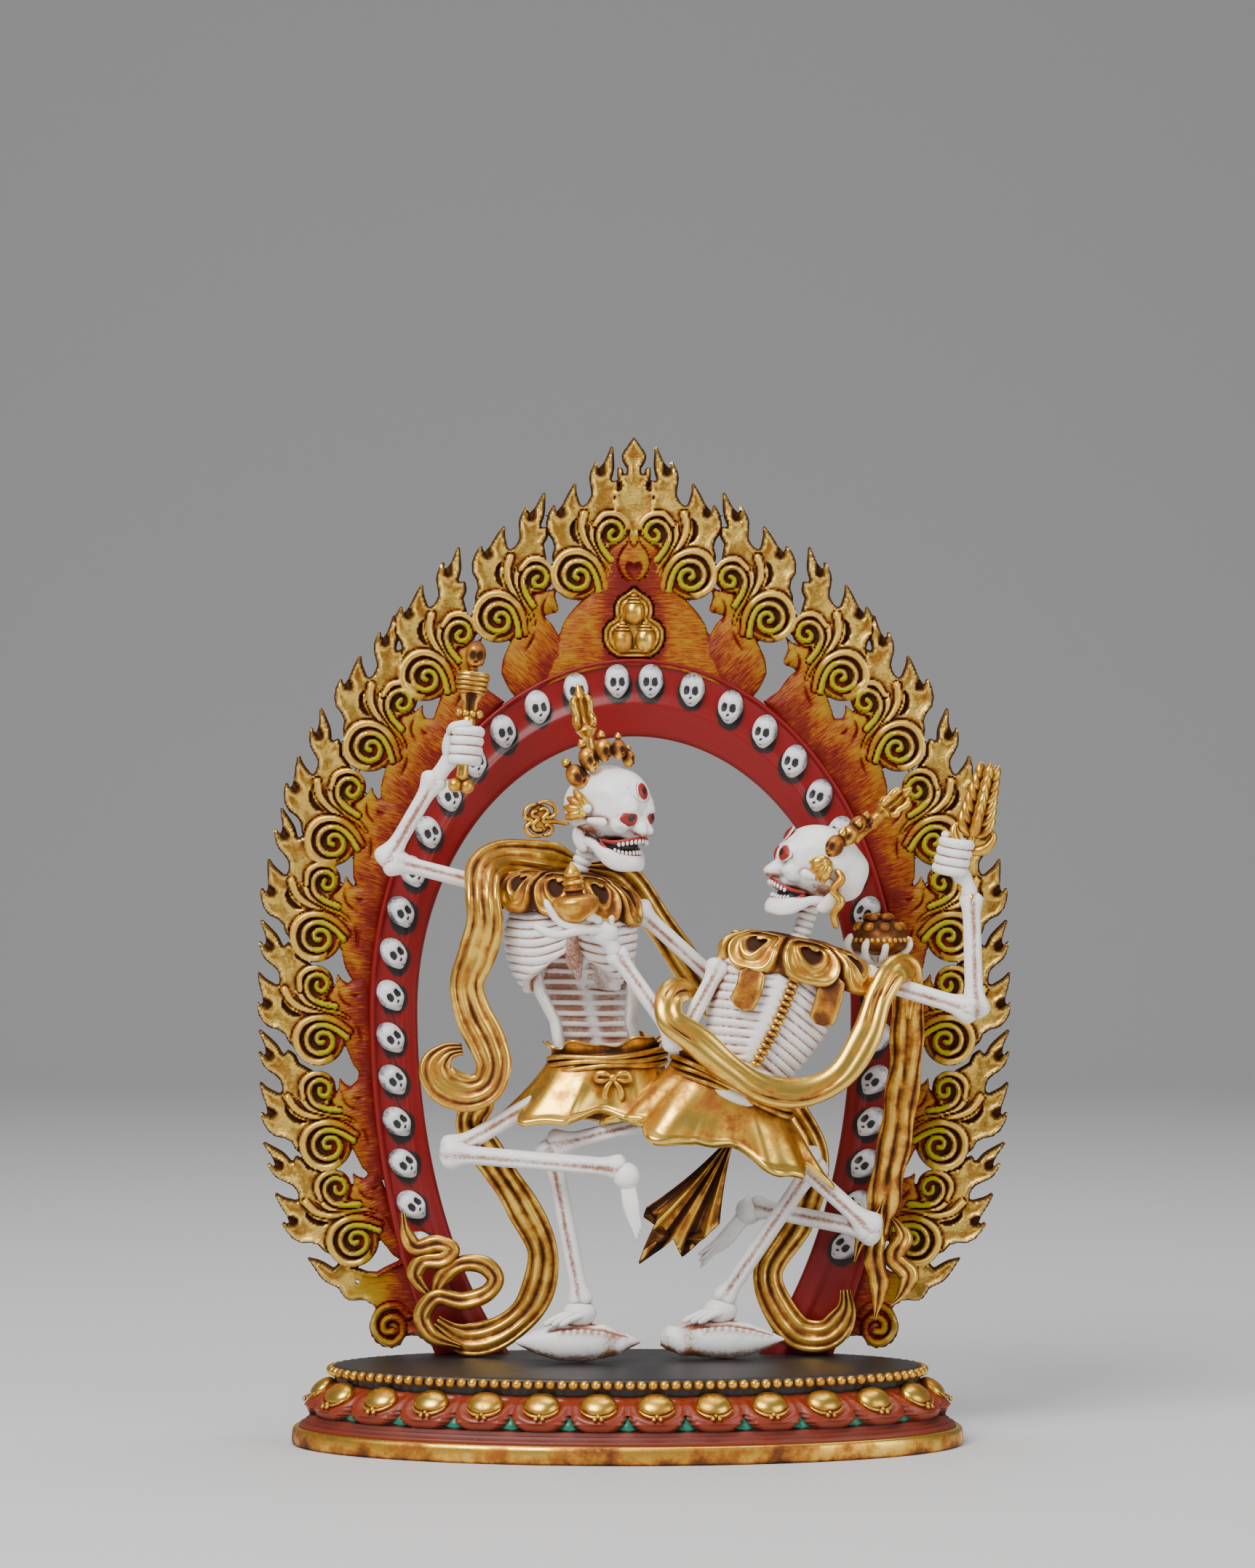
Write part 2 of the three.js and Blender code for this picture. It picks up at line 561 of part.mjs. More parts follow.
const fatherSolid = joined(father(0));
const fatherRoom = joined(father(gap));
const motherSolid = joined(mother(0));
const motherRoom = joined(mother(gap));
const fatherScarf = joined([scarf(overShoulder, 20), scarf(leftTail, 17), scarf(rightTail, 20)]);
const motherScarf = joined([scarf(motherRoute, 26)]);

const boneWhite = 0xd8d2c8;
const gilt = 0xb07a34;

const group = new THREE.Group();
group.add(
  mesh("lotus_base", lotusBase(), 0xa03520, 0.6, 0.1),
  mesh("flame_arch", flameArch(), 0x9a2a1c, 0.5, 0.2),
  mesh("father_skeleton", fatherSolid.subtract(motherRoom), boneWhite, 0.45, 0),
  mesh("mother_skeleton", motherSolid, boneWhite, 0.45, 0),
  mesh("father_scarf", fatherScarf.subtract(fatherRoom).subtract(motherRoom), gilt, 0.35, 0.9),
  mesh("mother_scarf", motherScarf.subtract(fatherRoom).subtract(motherRoom), gilt, 0.35, 0.9),
);

export default group;
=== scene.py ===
# %% [markdown]
# # A dancing skeleton couple before an arch of flames
#
# The real object is a small statue of cast metal. Its maker casts the base, the arch, the two figures and
# their scarves, chases the fine lines, joins the pieces, gilds them, and paints the bones, the arch and the
# lotus by hand. This script dresses the plain solids of the frame in that relief and those finishes.
#
# Every shape is worked out in millimetres as arrays of points, as a function of two parameters, and is made
# into a mesh at the end. That keeps the sizes readable, and nothing is placed by eye in the viewport.

# %% Load the frame
import math
import bmesh
import bpy
import numpy as np
from mathutils.geometry import delaunay_2d_cdt
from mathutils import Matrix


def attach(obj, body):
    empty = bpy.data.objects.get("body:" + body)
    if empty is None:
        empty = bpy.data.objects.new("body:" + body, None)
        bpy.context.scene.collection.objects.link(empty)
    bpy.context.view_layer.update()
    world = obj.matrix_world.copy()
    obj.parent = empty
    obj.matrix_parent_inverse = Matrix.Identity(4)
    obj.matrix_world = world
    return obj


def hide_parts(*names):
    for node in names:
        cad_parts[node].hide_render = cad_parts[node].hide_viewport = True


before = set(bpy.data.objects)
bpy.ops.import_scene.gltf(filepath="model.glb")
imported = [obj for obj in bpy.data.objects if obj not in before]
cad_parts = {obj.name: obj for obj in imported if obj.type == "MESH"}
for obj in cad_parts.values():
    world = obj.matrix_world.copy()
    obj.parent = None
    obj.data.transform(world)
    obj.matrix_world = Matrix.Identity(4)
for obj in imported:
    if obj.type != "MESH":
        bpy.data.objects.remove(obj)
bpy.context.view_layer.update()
MM = 0.001
WELD_DISTANCE = 1e-7
print("nodes:", sorted(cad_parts))

# %% [markdown]
# ## Camera, floor and light
#
# The statue was photographed from straight ahead with a long lens, level with the chests of the figures. A
# long lens flattens the depth, so the ellipse of the base looks thin. The floor is a pale sheet that sweeps
# up far behind, as in a studio, and big soft lamps give the gilding long gentle highlights.

# %% Camera at the photograph's angle
CAMERA_PLACE = (-0.85, -597.0, 84.4)
LENS, SENSOR_WIDTH = 106.95, 36
NEAREST_SEEN = 10

camera = bpy.data.objects.new("camera", bpy.data.cameras.new("camera"))
bpy.context.collection.objects.link(camera)
camera.location = [c * MM for c in CAMERA_PLACE]
camera.rotation_euler = (math.pi / 2, 0, 0)
camera.data.lens = LENS
camera.data.sensor_width = SENSOR_WIDTH
camera.data.clip_start = NEAREST_SEEN * MM
bpy.context.scene.camera = camera
print("camera at", CAMERA_PLACE, "mm")


# %% Helpers for materials
def new_material(name):
    """An empty material with a Principled shader; returns the material, its node tree and the shader."""
    material = bpy.data.materials.new(name)
    material.use_nodes = True
    return material, material.node_tree, material.node_tree.nodes["Principled BSDF"]


def node(tree, kind, inputs=(), **settings):
    """A node of that kind, its settings set, and its inputs linked or set from a dictionary."""
    made = tree.nodes.new(kind)
    for key, value in settings.items():
        setattr(made, key, value)
    dress(tree, made, dict(inputs))
    return made


def plug(tree, socket, value):
    """Links an output to the socket, or sets the socket to a plain value."""
    if isinstance(value, bpy.types.NodeSocket):
        tree.links.new(value, socket)
    else:
        socket.default_value = value


def dress(tree, shader, inputs):
    """Links or sets the shader's inputs, by name."""
    for key, value in inputs.items():
        plug(tree, shader.inputs[key], value)


def math_node(tree, operation, a, b, clamp=False):
    """One step of arithmetic on two numbers."""
    made = node(tree, "ShaderNodeMath", {0: a, 1: b}, operation=operation, use_clamp=clamp)
    return made.outputs[0]


def less(tree, a, b):
    """The number a less b."""
    return math_node(tree, "SUBTRACT", a, b)


def total(tree, *terms):
    """The sum of several numbers. A pair stands for a number times a weight."""
    values = [math_node(tree, "MULTIPLY", *term) if isinstance(term, tuple) else term for term in terms]
    made = values[0]
    for value in values[1:]:
        made = math_node(tree, "ADD", made, value)
    return made


def mixed(tree, factor, a, b):
    """Colour a where the factor is 0, and colour b where it is 1."""
    made = node(tree, "ShaderNodeMix", {0: factor, 6: rgb(a), 7: rgb(b)}, data_type="RGBA")
    return made.outputs[2]


def ramp(tree, factor, stops):
    """A colour ramp from stops of (place, colour or grey)."""
    made = node(tree, "ShaderNodeValToRGB", {0: factor})
    elements = made.color_ramp.elements
    while len(elements) < len(stops):
        elements.new(1.0)
    for element, (place, colour) in zip(elements, stops):
        element.position = place
        element.color = rgb(colour)
    return made.outputs[0]


def rgb(colour):
    """A colour of three numbers, or one grey, with full opacity. An output of a node stays as it is."""
    if isinstance(colour, bpy.types.NodeSocket):
        return colour
    return (colour,) * 3 + (1.0,) if isinstance(colour, (int, float)) else (*colour, 1.0)


def ranged(tree, value, low, high):
    """0 at low and 1 at high, with a smooth step between."""
    made = node(tree, "ShaderNodeMapRange", {0: value, 1: low, 2: high}, interpolation_type="SMOOTHSTEP")
    return made.outputs[0]


def noise(tree, coords, scale, detail, roughness=0.55, distortion=0.0):
    """Cloudy noise; the scale counts features in a metre."""
    made = node(tree, "ShaderNodeTexNoise", {"Vector": coords, "Scale": scale, "Detail": detail,
                                             "Roughness": roughness, "Distortion": distortion})
    return made.outputs[0]


def object_coords(tree):
    """Object coordinates, in metres."""
    return node(tree, "ShaderNodeTexCoord").outputs["Object"]


def attribute(tree, name):
    """A number that the piece carries at its points."""
    return node(tree, "ShaderNodeAttribute", attribute_name=name).outputs["Fac"]


def recess(tree, distance):
    """How closed in a place is, from 0 in the open to 1 in a crevice, within that distance in millimetres."""
    shade = node(tree, "ShaderNodeAmbientOcclusion", {"Distance": distance * MM}, samples=6, only_local=True)
    return math_node(tree, "SUBTRACT", 1.0, shade.outputs["AO"], clamp=True)


def bump(tree, height, depth, strength):
    """A bump from a height, over a depth in millimetres."""
    made = node(tree, "ShaderNodeBump", {"Height": height, "Distance": depth * MM, "Strength": strength})
    return made.outputs[0]


# %% Floor and backdrop
FLOOR_COLOUR = (0.66, 0.65, 0.645)
floor_material, tree, shader = new_material("studio_paper")
dress(tree, shader, {"Base Color": rgb(FLOOR_COLOUR), "Roughness": 0.62})

BEND_START, BEND_RADIUS, WALL_TOP, HALF_WIDTH = 700.0, 500.0, 2600.0, 2400.0
bend = np.linspace(0, math.pi / 2, 24)
profile_y = np.r_[-1400.0, BEND_START + BEND_RADIUS * np.sin(bend), BEND_START + BEND_RADIUS]
profile_z = np.r_[0.0, BEND_RADIUS * (1 - np.cos(bend)), WALL_TOP]
sheet = np.array([[(x, y, z) for x in (-HALF_WIDTH, HALF_WIDTH)] for y, z in zip(profile_y, profile_z)])
mesh = bpy.data.meshes.new("backdrop")
quads = [(2 * i, 2 * i + 1, 2 * i + 3, 2 * i + 2) for i in range(len(profile_y) - 1)]
mesh.from_pydata((sheet.reshape(-1, 3) * MM).tolist(), [], quads)
mesh.polygons.foreach_set("use_smooth", [True] * len(quads))
mesh.materials.append(floor_material)
backdrop = bpy.data.objects.new("backdrop", mesh)
bpy.context.collection.objects.link(backdrop)
print("backdrop of", len(quads), "faces")


# %% Lamps and the studio's own light
def lamp(name, place, aim, size, watts):
    """A square soft lamp, its place and aim in millimetres."""
    light = bpy.data.lights.new(name, "AREA")
    light.size = size * MM
    light.energy = watts
    made = bpy.data.objects.new(name, light)
    made.location = [c * MM for c in place]
    direction = np.array(aim, float) - np.array(place, float)
    yaw = math.atan2(direction[0], -direction[1])
    pitch = math.atan2(math.hypot(direction[0], direction[1]), -direction[2])
    made.rotation_euler = (pitch, 0, yaw + math.pi)
    bpy.context.collection.objects.link(made)
    return made


AIM = (0, 0, 60)
lamp("key", (-260, -420, 520), AIM, 380, 5.7)
lamp("fill", (520, -380, 240), AIM, 420, 1.7)
lamp("top", (60, 120, 620), AIM, 420, 2.2)
world = bpy.data.worlds.new("studio")
world.use_nodes = True
world.node_tree.nodes["Background"].inputs[0].default_value = rgb((0.82, 0.84, 0.88))
world.node_tree.nodes["Background"].inputs[1].default_value = 0.2
bpy.context.scene.world = world
print("three lamps")

# %% [markdown]
# ## Shapes as arrays
#
# A shape here is a dictionary: points in millimetres, four-sided faces, triangles, and a few numbers at each
# point that the materials read. Shapes that belong to one piece are joined before they become a mesh.


# %% Shapes, joined and made into pieces
def surface(points, **numbers):
    """Faces between neighbouring points of a grid [row, column]. Every row closes into a ring, and a fan
    round the middle closes the first row and the last one. The numbers are those of the grid's points."""
    rows, columns = points.shape[:2]
    size = rows * columns
    index = np.arange(size).reshape(rows, columns)
    index = np.hstack([index, index[:, :1]])
    quads = np.stack([index[:-1, :-1], index[:-1, 1:], index[1:, 1:], index[1:, :-1]], -1).reshape(-1, 4)
    first = np.stack([index[0, 1:], index[0, :-1], np.full(columns, size)], -1)
    last = np.stack([index[-1, :-1], index[-1, 1:], np.full(columns, size + 1)], -1)
    flat = {key: np.broadcast_to(value, (rows, columns)).reshape(-1) for key, value in numbers.items()}
    return {
        "points": np.vstack([points.reshape(-1, 3), points[0].mean(0), points[-1].mean(0)]),
        "quads": quads,
        "triangles": np.vstack([first, last]),
        "numbers": {key: np.r_[value, value[[0, size - columns]]] for key, value in flat.items()},
    }


def joined(shapes):
    """Several shapes as one; a number that a shape lacks is 0 there."""
    starts = np.cumsum([0] + [len(shape["points"]) for shape in shapes])
    keys = {key for shape in shapes for key in shape["numbers"]}
    return {
        "points": np.vstack([shape["points"] for shape in shapes]),
        "quads": np.vstack([shape["quads"] + start for shape, start in zip(shapes, starts)]),
        "triangles": np.vstack([shape["triangles"] + start for shape, start in zip(shapes, starts)]),
        "numbers": {key: np.concatenate([shape["numbers"].get(key, np.zeros(len(shape["points"])))
                                         for shape in shapes]) for key in keys},
    }


def moved(shape, centre, axes, size=1.0):
    """A shape with its own X, Y and Z laid along the three axes, scaled, and moved to the centre."""
    placed = np.array(centre) + size * shape["points"] @ np.array(axes, float)
    return {**shape, "points": placed}


def copies(shape, centres, axes=np.eye(3)):
    """A shape repeated at each centre, its X, Y and Z laid along that copy's three axes."""
    count, size = len(centres), len(shape["points"])
    axes = np.broadcast_to(axes, (count, 3, 3))
    points = centres[:, None] + np.einsum("pk,nkj->npj", shape["points"], axes)
    shift = size * np.arange(count)[:, None, None]
    return {
        "points": points.reshape(-1, 3),
        "quads": (shape["quads"] + shift).reshape(-1, 4),
        "triangles": (shape["triangles"] + shift).reshape(-1, 3),
        "numbers": {key: np.tile(value, count) for key, value in shape["numbers"].items()},
    }


def make_piece(name, shape, nodes, material, weld=False, crisp=None):
    """The shape as a smooth-shaded mesh object that stands for the named nodes of the frame. A crisp angle,
    in degrees, keeps sharper edges than that from being shaded smooth."""
    mesh = bpy.data.meshes.new(name)
    faces = shape["quads"].tolist() + shape["triangles"].tolist()
    mesh.from_pydata((shape["points"] * MM).tolist(), [], faces)
    for key, value in shape["numbers"].items():
        mesh.attributes.new(key, "FLOAT", "POINT").data.foreach_set("value", value.astype(np.float32))
    work = bmesh.new()
    work.from_mesh(mesh)
    if weld:
        bmesh.ops.remove_doubles(work, verts=work.verts, dist=WELD_DISTANCE)
    bmesh.ops.recalc_face_normals(work, faces=work.faces)
    work.to_mesh(mesh)
    work.free()
    mesh.polygons.foreach_set("use_smooth", [True] * len(mesh.polygons))
    if crisp is not None:
        mesh.set_sharp_from_angle(angle=math.radians(crisp))
    mesh.materials.append(material)
    piece = bpy.data.objects.new(name, mesh)
    bpy.context.collection.objects.link(piece)
    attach(piece, "root")
    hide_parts(*nodes)
    triangles = 2 * len(shape["quads"]) + len(shape["triangles"])
    print(f"{name}: {triangles} triangles")
    return piece


# %% Curves, turned shapes and profiles carried along a path
def unit(vectors):
    """Vectors at length 1."""
    return vectors / np.maximum(np.linalg.norm(vectors, axis=-1, keepdims=True), 1e-9)


def eased(value, low, high):
    """0 below low, 1 above high, and a smooth step between."""
    share = np.clip((value - low) / (high - low), 0, 1)
    return share * share * (3 - 2 * share)


def bell(value, width, power=2):
    """1 at 0, falling off to a third where the value gets as large as the width."""
    return np.exp(-((value / width) ** power))


def circle(count):
    """Angles at even steps all the way round."""
    return np.linspace(0, 2 * math.pi, count, endpoint=False)


def arrays(*values):
    """Each of the values as an array of floats."""
    return [np.array(value, float) for value in values]


def curve(points, count):
    """A smooth line through the points, at even steps: cubic pieces whose slope at a point runs parallel to
    the line between its neighbours."""
    p = np.array(points, float)
    t = np.r_[0, np.cumsum(np.sqrt(np.linalg.norm(np.diff(p, axis=0), axis=1)))]
    slope = np.gradient(p, t, axis=0)
    s = np.linspace(0, t[-1], 24 * len(p))
    i = np.clip(np.searchsorted(t, s, "right") - 1, 0, len(p) - 2)
    h = (t[i + 1] - t[i])[:, None]
    w = ((s - t[i]) / h[:, 0])[:, None]
    fine = ((1 + 2 * w) * (1 - w) ** 2 * p[i] + w * (1 - w) ** 2 * h * slope[i]
            + w * w * (3 - 2 * w) * p[i + 1] + w * w * (w - 1) * h * slope[i + 1])
    length = np.r_[0, np.cumsum(np.linalg.norm(np.diff(fine, axis=0), axis=1))]
    even = np.linspace(0, length[-1], count)
    return np.stack([np.interp(even, length, fine[:, k]) for k in range(p.shape[1])], -1)


def carried(path, across, out, facing=(0, -1, 0), **numbers):
    """A closed profile carried along a path. Row by row, across and out give each point's distance from the
    path, square to it: out points to the side that the facing vector names."""
    along = unit(np.gradient(path, axis=0))
    side = unit(np.cross(along, np.array(facing, float)))
    front = unit(np.cross(side, along))
    points = path[:, None] + across[..., None] * side[:, None] + out[..., None] * front[:, None]
    return surface(points, **numbers)


def tube(points, radii, sides, steps, flat=1.0, facing=(0, -1, 0)):
    """A round rod along a smooth path, with rounded ends; radii are spread evenly along it."""
    path = curve(points, steps)
    share = np.linspace(0, 1, steps)
    radius = np.interp(share, np.linspace(0, 1, len(radii)), radii)
    length = np.linalg.norm(np.diff(path, axis=0), axis=1).sum()
    end = np.minimum(share, 1 - share) * length / np.maximum(radius, 1e-6)
    radius = radius * np.sqrt(np.clip(1 - (1 - np.clip(end, 0.02, 1)) ** 2, 0, 1))
    turn = circle(sides)
    return carried(path, np.outer(radius, np.cos(turn)), np.outer(radius * flat, np.sin(turn)), facing)


def turned(start, end, profile, sides, steps):
    """A profile of (radius, share of the length) turned round the line from start to end."""
    radius, share = np.array(profile, float).T
    given = np.arange(len(share))
    finer = np.linspace(0, given[-1], steps * given[-1] + 1)
    fine, radius = np.interp(finer, given, share), np.interp(finer, given, radius)
    start, end = arrays(start, end)
    path = start + fine[:, None] * (end - start)
    along = unit(end - start)
    side = unit(np.cross(along, (0.31, -1, 0.17)))
    front = np.cross(side, along)
    turn = circle(sides)
    ring = np.cos(turn)[:, None] * side + np.sin(turn)[:, None] * front
    return surface(path[:, None] + radius[:, None, None] * ring)


def ball(centre=(0, 0, 0), size=(1, 1, 1), rows=12, columns=18):
    """An oval ball: latitude by longitude, with its half-sizes along X, Y and Z."""
    up = np.linspace(-math.pi / 2 + 0.06, math.pi / 2 - 0.06, rows)[:, None]
    turn = circle(columns)
    x, y = np.cos(up) * np.cos(turn), np.cos(up) * np.sin(turn)
    points = np.stack(np.broadcast_arrays(x, y, np.sin(up)), -1)
    return surface(np.array(centre) + points * size)


def directions(rows, columns, edge):
    """Directions all round, by height and by turn from straight ahead, which is -Y. The first and last rows
    stop that many radians short of the poles."""
    up = np.linspace(-math.pi / 2 + edge, math.pi / 2 - edge, rows)[:, None]
    aside = circle(columns)
    x, y = np.cos(up) * np.sin(aside), -np.cos(up) * np.cos(aside)
    return np.stack(np.broadcast_arrays(x, y, np.sin(up)), -1)


print("helpers ready")

# %% [markdown]
# ## Finishes
#
# The gilding is bright where a thumb would rub it and keeps a brown wash in every hollow. A real finisher
# brushes the wash on and wipes it off again. The shader does the same: it measures how closed in a place is
# and lays the wash there, deepening the most closed-in hollows to near black as painted shade, with clouds
# of noise so that it never looks even. The paints work in the same way.


# %% Gilding with a brown wash
# The brown steps are the wash; the darkest steps stand for painted shade in the deepest hollows.
GOLD_STEPS = [(0.20, (0.88, 0.57, 0.11)), (0.38, (0.74, 0.40, 0.05)), (0.56, (0.46, 0.165, 0.018)),
              (0.74, (0.20, 0.062, 0.012)), (1.0, (0.045, 0.016, 0.007))]


def gilding(name, hollow=0.9, hollow_wash_and_shade=1.0):
    """Gold that goes from bright to orange-brown to dark brown as a place gets more closed in, within that
    many mm: a brown wash, deepened to painted shade in the deepest hollows. The shape's numbers for stain
    and shade and for ink add to it, and a negative one rubs it bright."""
    material, tree, shader = new_material(name)
    place = object_coords(tree)
    patches = ranged(tree, noise(tree, place, 420, 4), 0.3, 0.7)
    fine = noise(tree, place, 3200, 3)
    # How far the wash goes: a real brown wash in the hollows, deepened to painted shade where they close in
    # most.
    wash_and_shade = total(tree, (recess(tree, hollow), hollow_wash_and_shade), (patches, 0.42), (fine, 0.2), attribute(tree, "stain"),
                 (attribute(tree, "ink"), 0.8))
    dress(tree, shader, {
        "Base Color": ramp(tree, wash_and_shade, GOLD_STEPS),
        "Metallic": ramp(tree, wash_and_shade, [(0.35, 0.95), (0.95, 0.0)]),
        "Roughness": ramp(tree, wash_and_shade, [(0.2, 0.27), (0.5, 0.42), (0.95, 0.7)]),
        "Specular IOR Level": ramp(tree, wash_and_shade, [(0.5, 0.45), (0.9, 0.12)]),
        "Normal": bump(tree, fine, 0.02, 0.3)})
    return material


gold_finish = gilding("antique_gilding")
scarf_gold = gilding("scarf_gilding", hollow=1.3, hollow_wash_and_shade=0.8)


# %% Ivory paint for bones and shells
def bone_paint(name, inks, white=(0.97, 0.95, 0.92), hollow_wash_and_shade=(0.34, 0.12, 0.05)):
    """Ivory paint with a cool painted shade mixed in by its clouds and its hollows, and a reddish wash laid
    in its hollows and where its number for stain and shade is high; in the hollows it is partly painted
    shade.
    Each ink is (attribute, colour) and lies over it."""
    material, tree, shader = new_material(name)
    place = object_coords(tree)
    clouds = noise(tree, place, 260, 4)
    specks = noise(tree, place, 2600, 4)
    closed = recess(tree, 0.8)
    wash_and_shade = total(tree, closed, (clouds, 0.5), (specks, 0.5), attribute(tree, "stain"))
    # A bluish grey mixed in by the clouds and the hollows: painted cool shade.
    cool_shade = [part * share for part, share in zip(white, (0.84, 0.88, 0.93))]
    paint = mixed(tree, ranged(tree, total(tree, clouds, (closed, 0.5)), 0.4, 0.85), white, cool_shade)
    # The wash colour in the hollows: partly a real wash, partly painted shade where they close in most.
    paint = mixed(tree, ranged(tree, wash_and_shade, 0.62, 1.04), paint, hollow_wash_and_shade)
    for key, colour in inks:
        paint = mixed(tree, ranged(tree, attribute(tree, key), 0.35, 0.65), paint, colour)
    dress(tree, shader, {"Base Color": paint, "Roughness": ramp(tree, wash_and_shade, [(0.2, 0.36), (1.0, 0.62)]),
                         "Normal": bump(tree, specks, 0.03, 0.5), "Coat Weight": 0.1})
    return material


def lacquer(name, colour, dark, roughness, dust=(0.34, 0.27, 0.24), dusty=0.5):
    """One colour of paint, darker in its hollows, with pale scuffs on it in small patches."""
    material, tree, shader = new_material(name)
    place = object_coords(tree)
    clouds = noise(tree, place, 300, 4)
    specks = noise(tree, place, 2400, 4, distortion=0.6)
    shade = total(tree, recess(tree, 1.0), (clouds, 0.3), attribute(tree, "stain"))
    paint = mixed(tree, ranged(tree, shade, 0.2, 0.85), colour, dark)
    scuffs = math_node(tree, "MULTIPLY", ranged(tree, specks, 0.62, 0.78), ranged(tree, clouds, 0.45, 0.7))
    dress(tree, shader, {
        "Base Color": mixed(tree, math_node(tree, "MULTIPLY", scuffs, dusty), paint, dust),
        "Roughness": ramp(tree, shade, [(0.1, roughness - 0.08), (0.9, roughness + 0.2)]),
        "Normal": bump(tree, specks, 0.03, 0.4)})
    return material


petal_red = lacquer("petal_red_paint", (0.25, 0.030, 0.007), (0.07, 0.008, 0.005), 0.42)
plate_black = lacquer("plate_black_paint", (0.020, 0.018, 0.018), (0.006, 0.005, 0.005), 0.5,
                      dust=(0.16, 0.10, 0.085), dusty=0.35)
leaf_green = lacquer("leaf_green_paint", (0.010, 0.19, 0.12), (0.004, 0.03, 0.03), 0.4)
print("finishes ready")

# %% [markdown]
# ## The lotus base
#
# The base is an oval drum with a gilt foot rim, a stepped red moulding, twenty-six lotus petals with gilt
# bosses, a fluted black neck, a row of beads and a black plate. Round forms like these could be turned, but
# an oval can't. So every ring is the foot's oval, set in by some amount, and the petals are a change of that
# amount round the oval and up its side.


# %% Places round the oval
BASE_MIDDLE, RIM_LENGTH, RIM_DEPTH, DEPTH_SHARE = -0.85, 43.0, 21.0, 0.88
PETALS = 26
PLATE_TOP = 10.1


def even_turns(count, inset):
    """Angles that cut the oval, set in by the inset, into that many stretches of one length."""
    fine = np.linspace(0, 2 * math.pi, 4001)
    ring = oval(fine, inset, 0)
    length = np.r_[0, np.cumsum(np.linalg.norm(np.diff(ring, axis=0), axis=1))]
    return np.interp(np.linspace(0, length[-1], count, endpoint=False), length, fine)


def oval(turn, inset, height):
    """The place on the base at an angle, that far in from the rim, at that height."""
    turn, inset, height = np.broadcast_arrays(turn, inset, height)
    x = BASE_MIDDLE + (RIM_LENGTH - inset) * np.cos(turn)
    y = (RIM_DEPTH - inset * DEPTH_SHARE) * np.sin(turn)
    return np.stack([x, y, height], -1)


# %% Gilt foot rim
rim_turns = circle(260)
rim_profile = np.array([(0.35, 0.0), (0.1, 0.12), (0.02, 0.4), (0.0, 1.0), (0.05, 1.7), (0.16, 2.1),
                        (0.4, 2.32), (0.75, 2.36), (1.0, 2.25), (1.15, 2.0)])
rim_height = rim_profile[:, 1:]
# Rubbed bright along the top edge, and darker along the foot of the rim.
bright_top_dark_foot = 0.18 - 0.35 * bell(rim_height - 2.3, 0.18) + 0.3 * bell(rim_height, 0.35)
patches = 0.16 * np.sin(7 * rim_turns) * np.sin(3 * rim_turns + 1) + 0.1 * np.sin(23 * rim_turns + 2)
rim = surface(oval(rim_turns, rim_profile[:, :1], rim_height), stain=bright_top_dark_foot + patches)
make_piece("foot_rim", rim, ["lotus_base"], gilding("foot_rim_gilding", hollow=1.6))

# %% Red moulding and petals
PETAL_COLUMNS = 18
COLUMNS = PETAL_COLUMNS * PETALS
PETAL_TOPS = np.array([(3.9, 2.25), (4.2, 2.05), (4.9, 1.75), (5.8, 2.35), (7.0, 3.9), (7.6, 4.9),
                       (7.9, 5.6)])
petal_turns = even_turns(COLUMNS, 2)
share = (np.abs((np.arange(COLUMNS) / PETAL_COLUMNS + 0.5) % 1 - 0.5) * 2)[None]
heights = np.r_[np.linspace(3.9, 4.3, 6), np.linspace(4.38, 6.2, 26), np.linspace(6.3, 7.9, 18)]
z = heights[:, None]
edge_share = np.interp(z, [3.9, 4.1, 4.8, 5.9], [0.5, 0.64, 0.86, 1.04])
on_petal = 1 - eased(share, edge_share - 0.07, edge_share + 0.01)
top_inset = np.interp(z, PETAL_TOPS[:, 0], PETAL_TOPS[:, 1]) + 0.42 * share ** 2
recess_inset = np.interp(z, [3.9, 4.2, 6.5, 7.9], [3.2, 3.5, 4.7, 5.9])
u_outer = np.hypot(share, (z - 7.0) / 2.3) - 1.0
u_inner = np.hypot(share / 0.78, (z - 7.1) / 1.75) - 1.0
u_band = eased(-u_outer, 0.0, 0.12) * eased(u_inner, -0.12, 0.06)
ogee = eased(z, 6.9, 7.25)
dip = 0.55 * eased(-u_inner, -0.05, 0.2) * (1 - eased(z, 7.3, 7.9))
raised = 0.22 * u_band * (1 - ogee)
inset = recess_inset + (top_inset + dip - raised - recess_inset) * on_petal
moulding = np.array([(1.0, 2.0), (1.0, 2.65), (1.15, 2.8), (1.75, 2.85), (1.8, 3.25), (2.0, 3.35),
                     (2.15, 3.4), (2.25, 3.75), (2.6, 3.85)])
lower = oval(petal_turns, moulding[:, :1], moulding[:, 1:])
# The moulding under the petals, and the lower lip of each petal, are painted darker: painted shade under the
# overhang.
shade_under_petals = np.r_[np.full(len(moulding), 0.3), 0.15 * (1 - eased(heights, 3.9, 5.0))][:, None]
petals = surface(np.vstack([lower, oval(petal_turns, inset, z)]), stain=shade_under_petals)
make_piece("lotus_petals", petals, ["lotus_base"], petal_red)

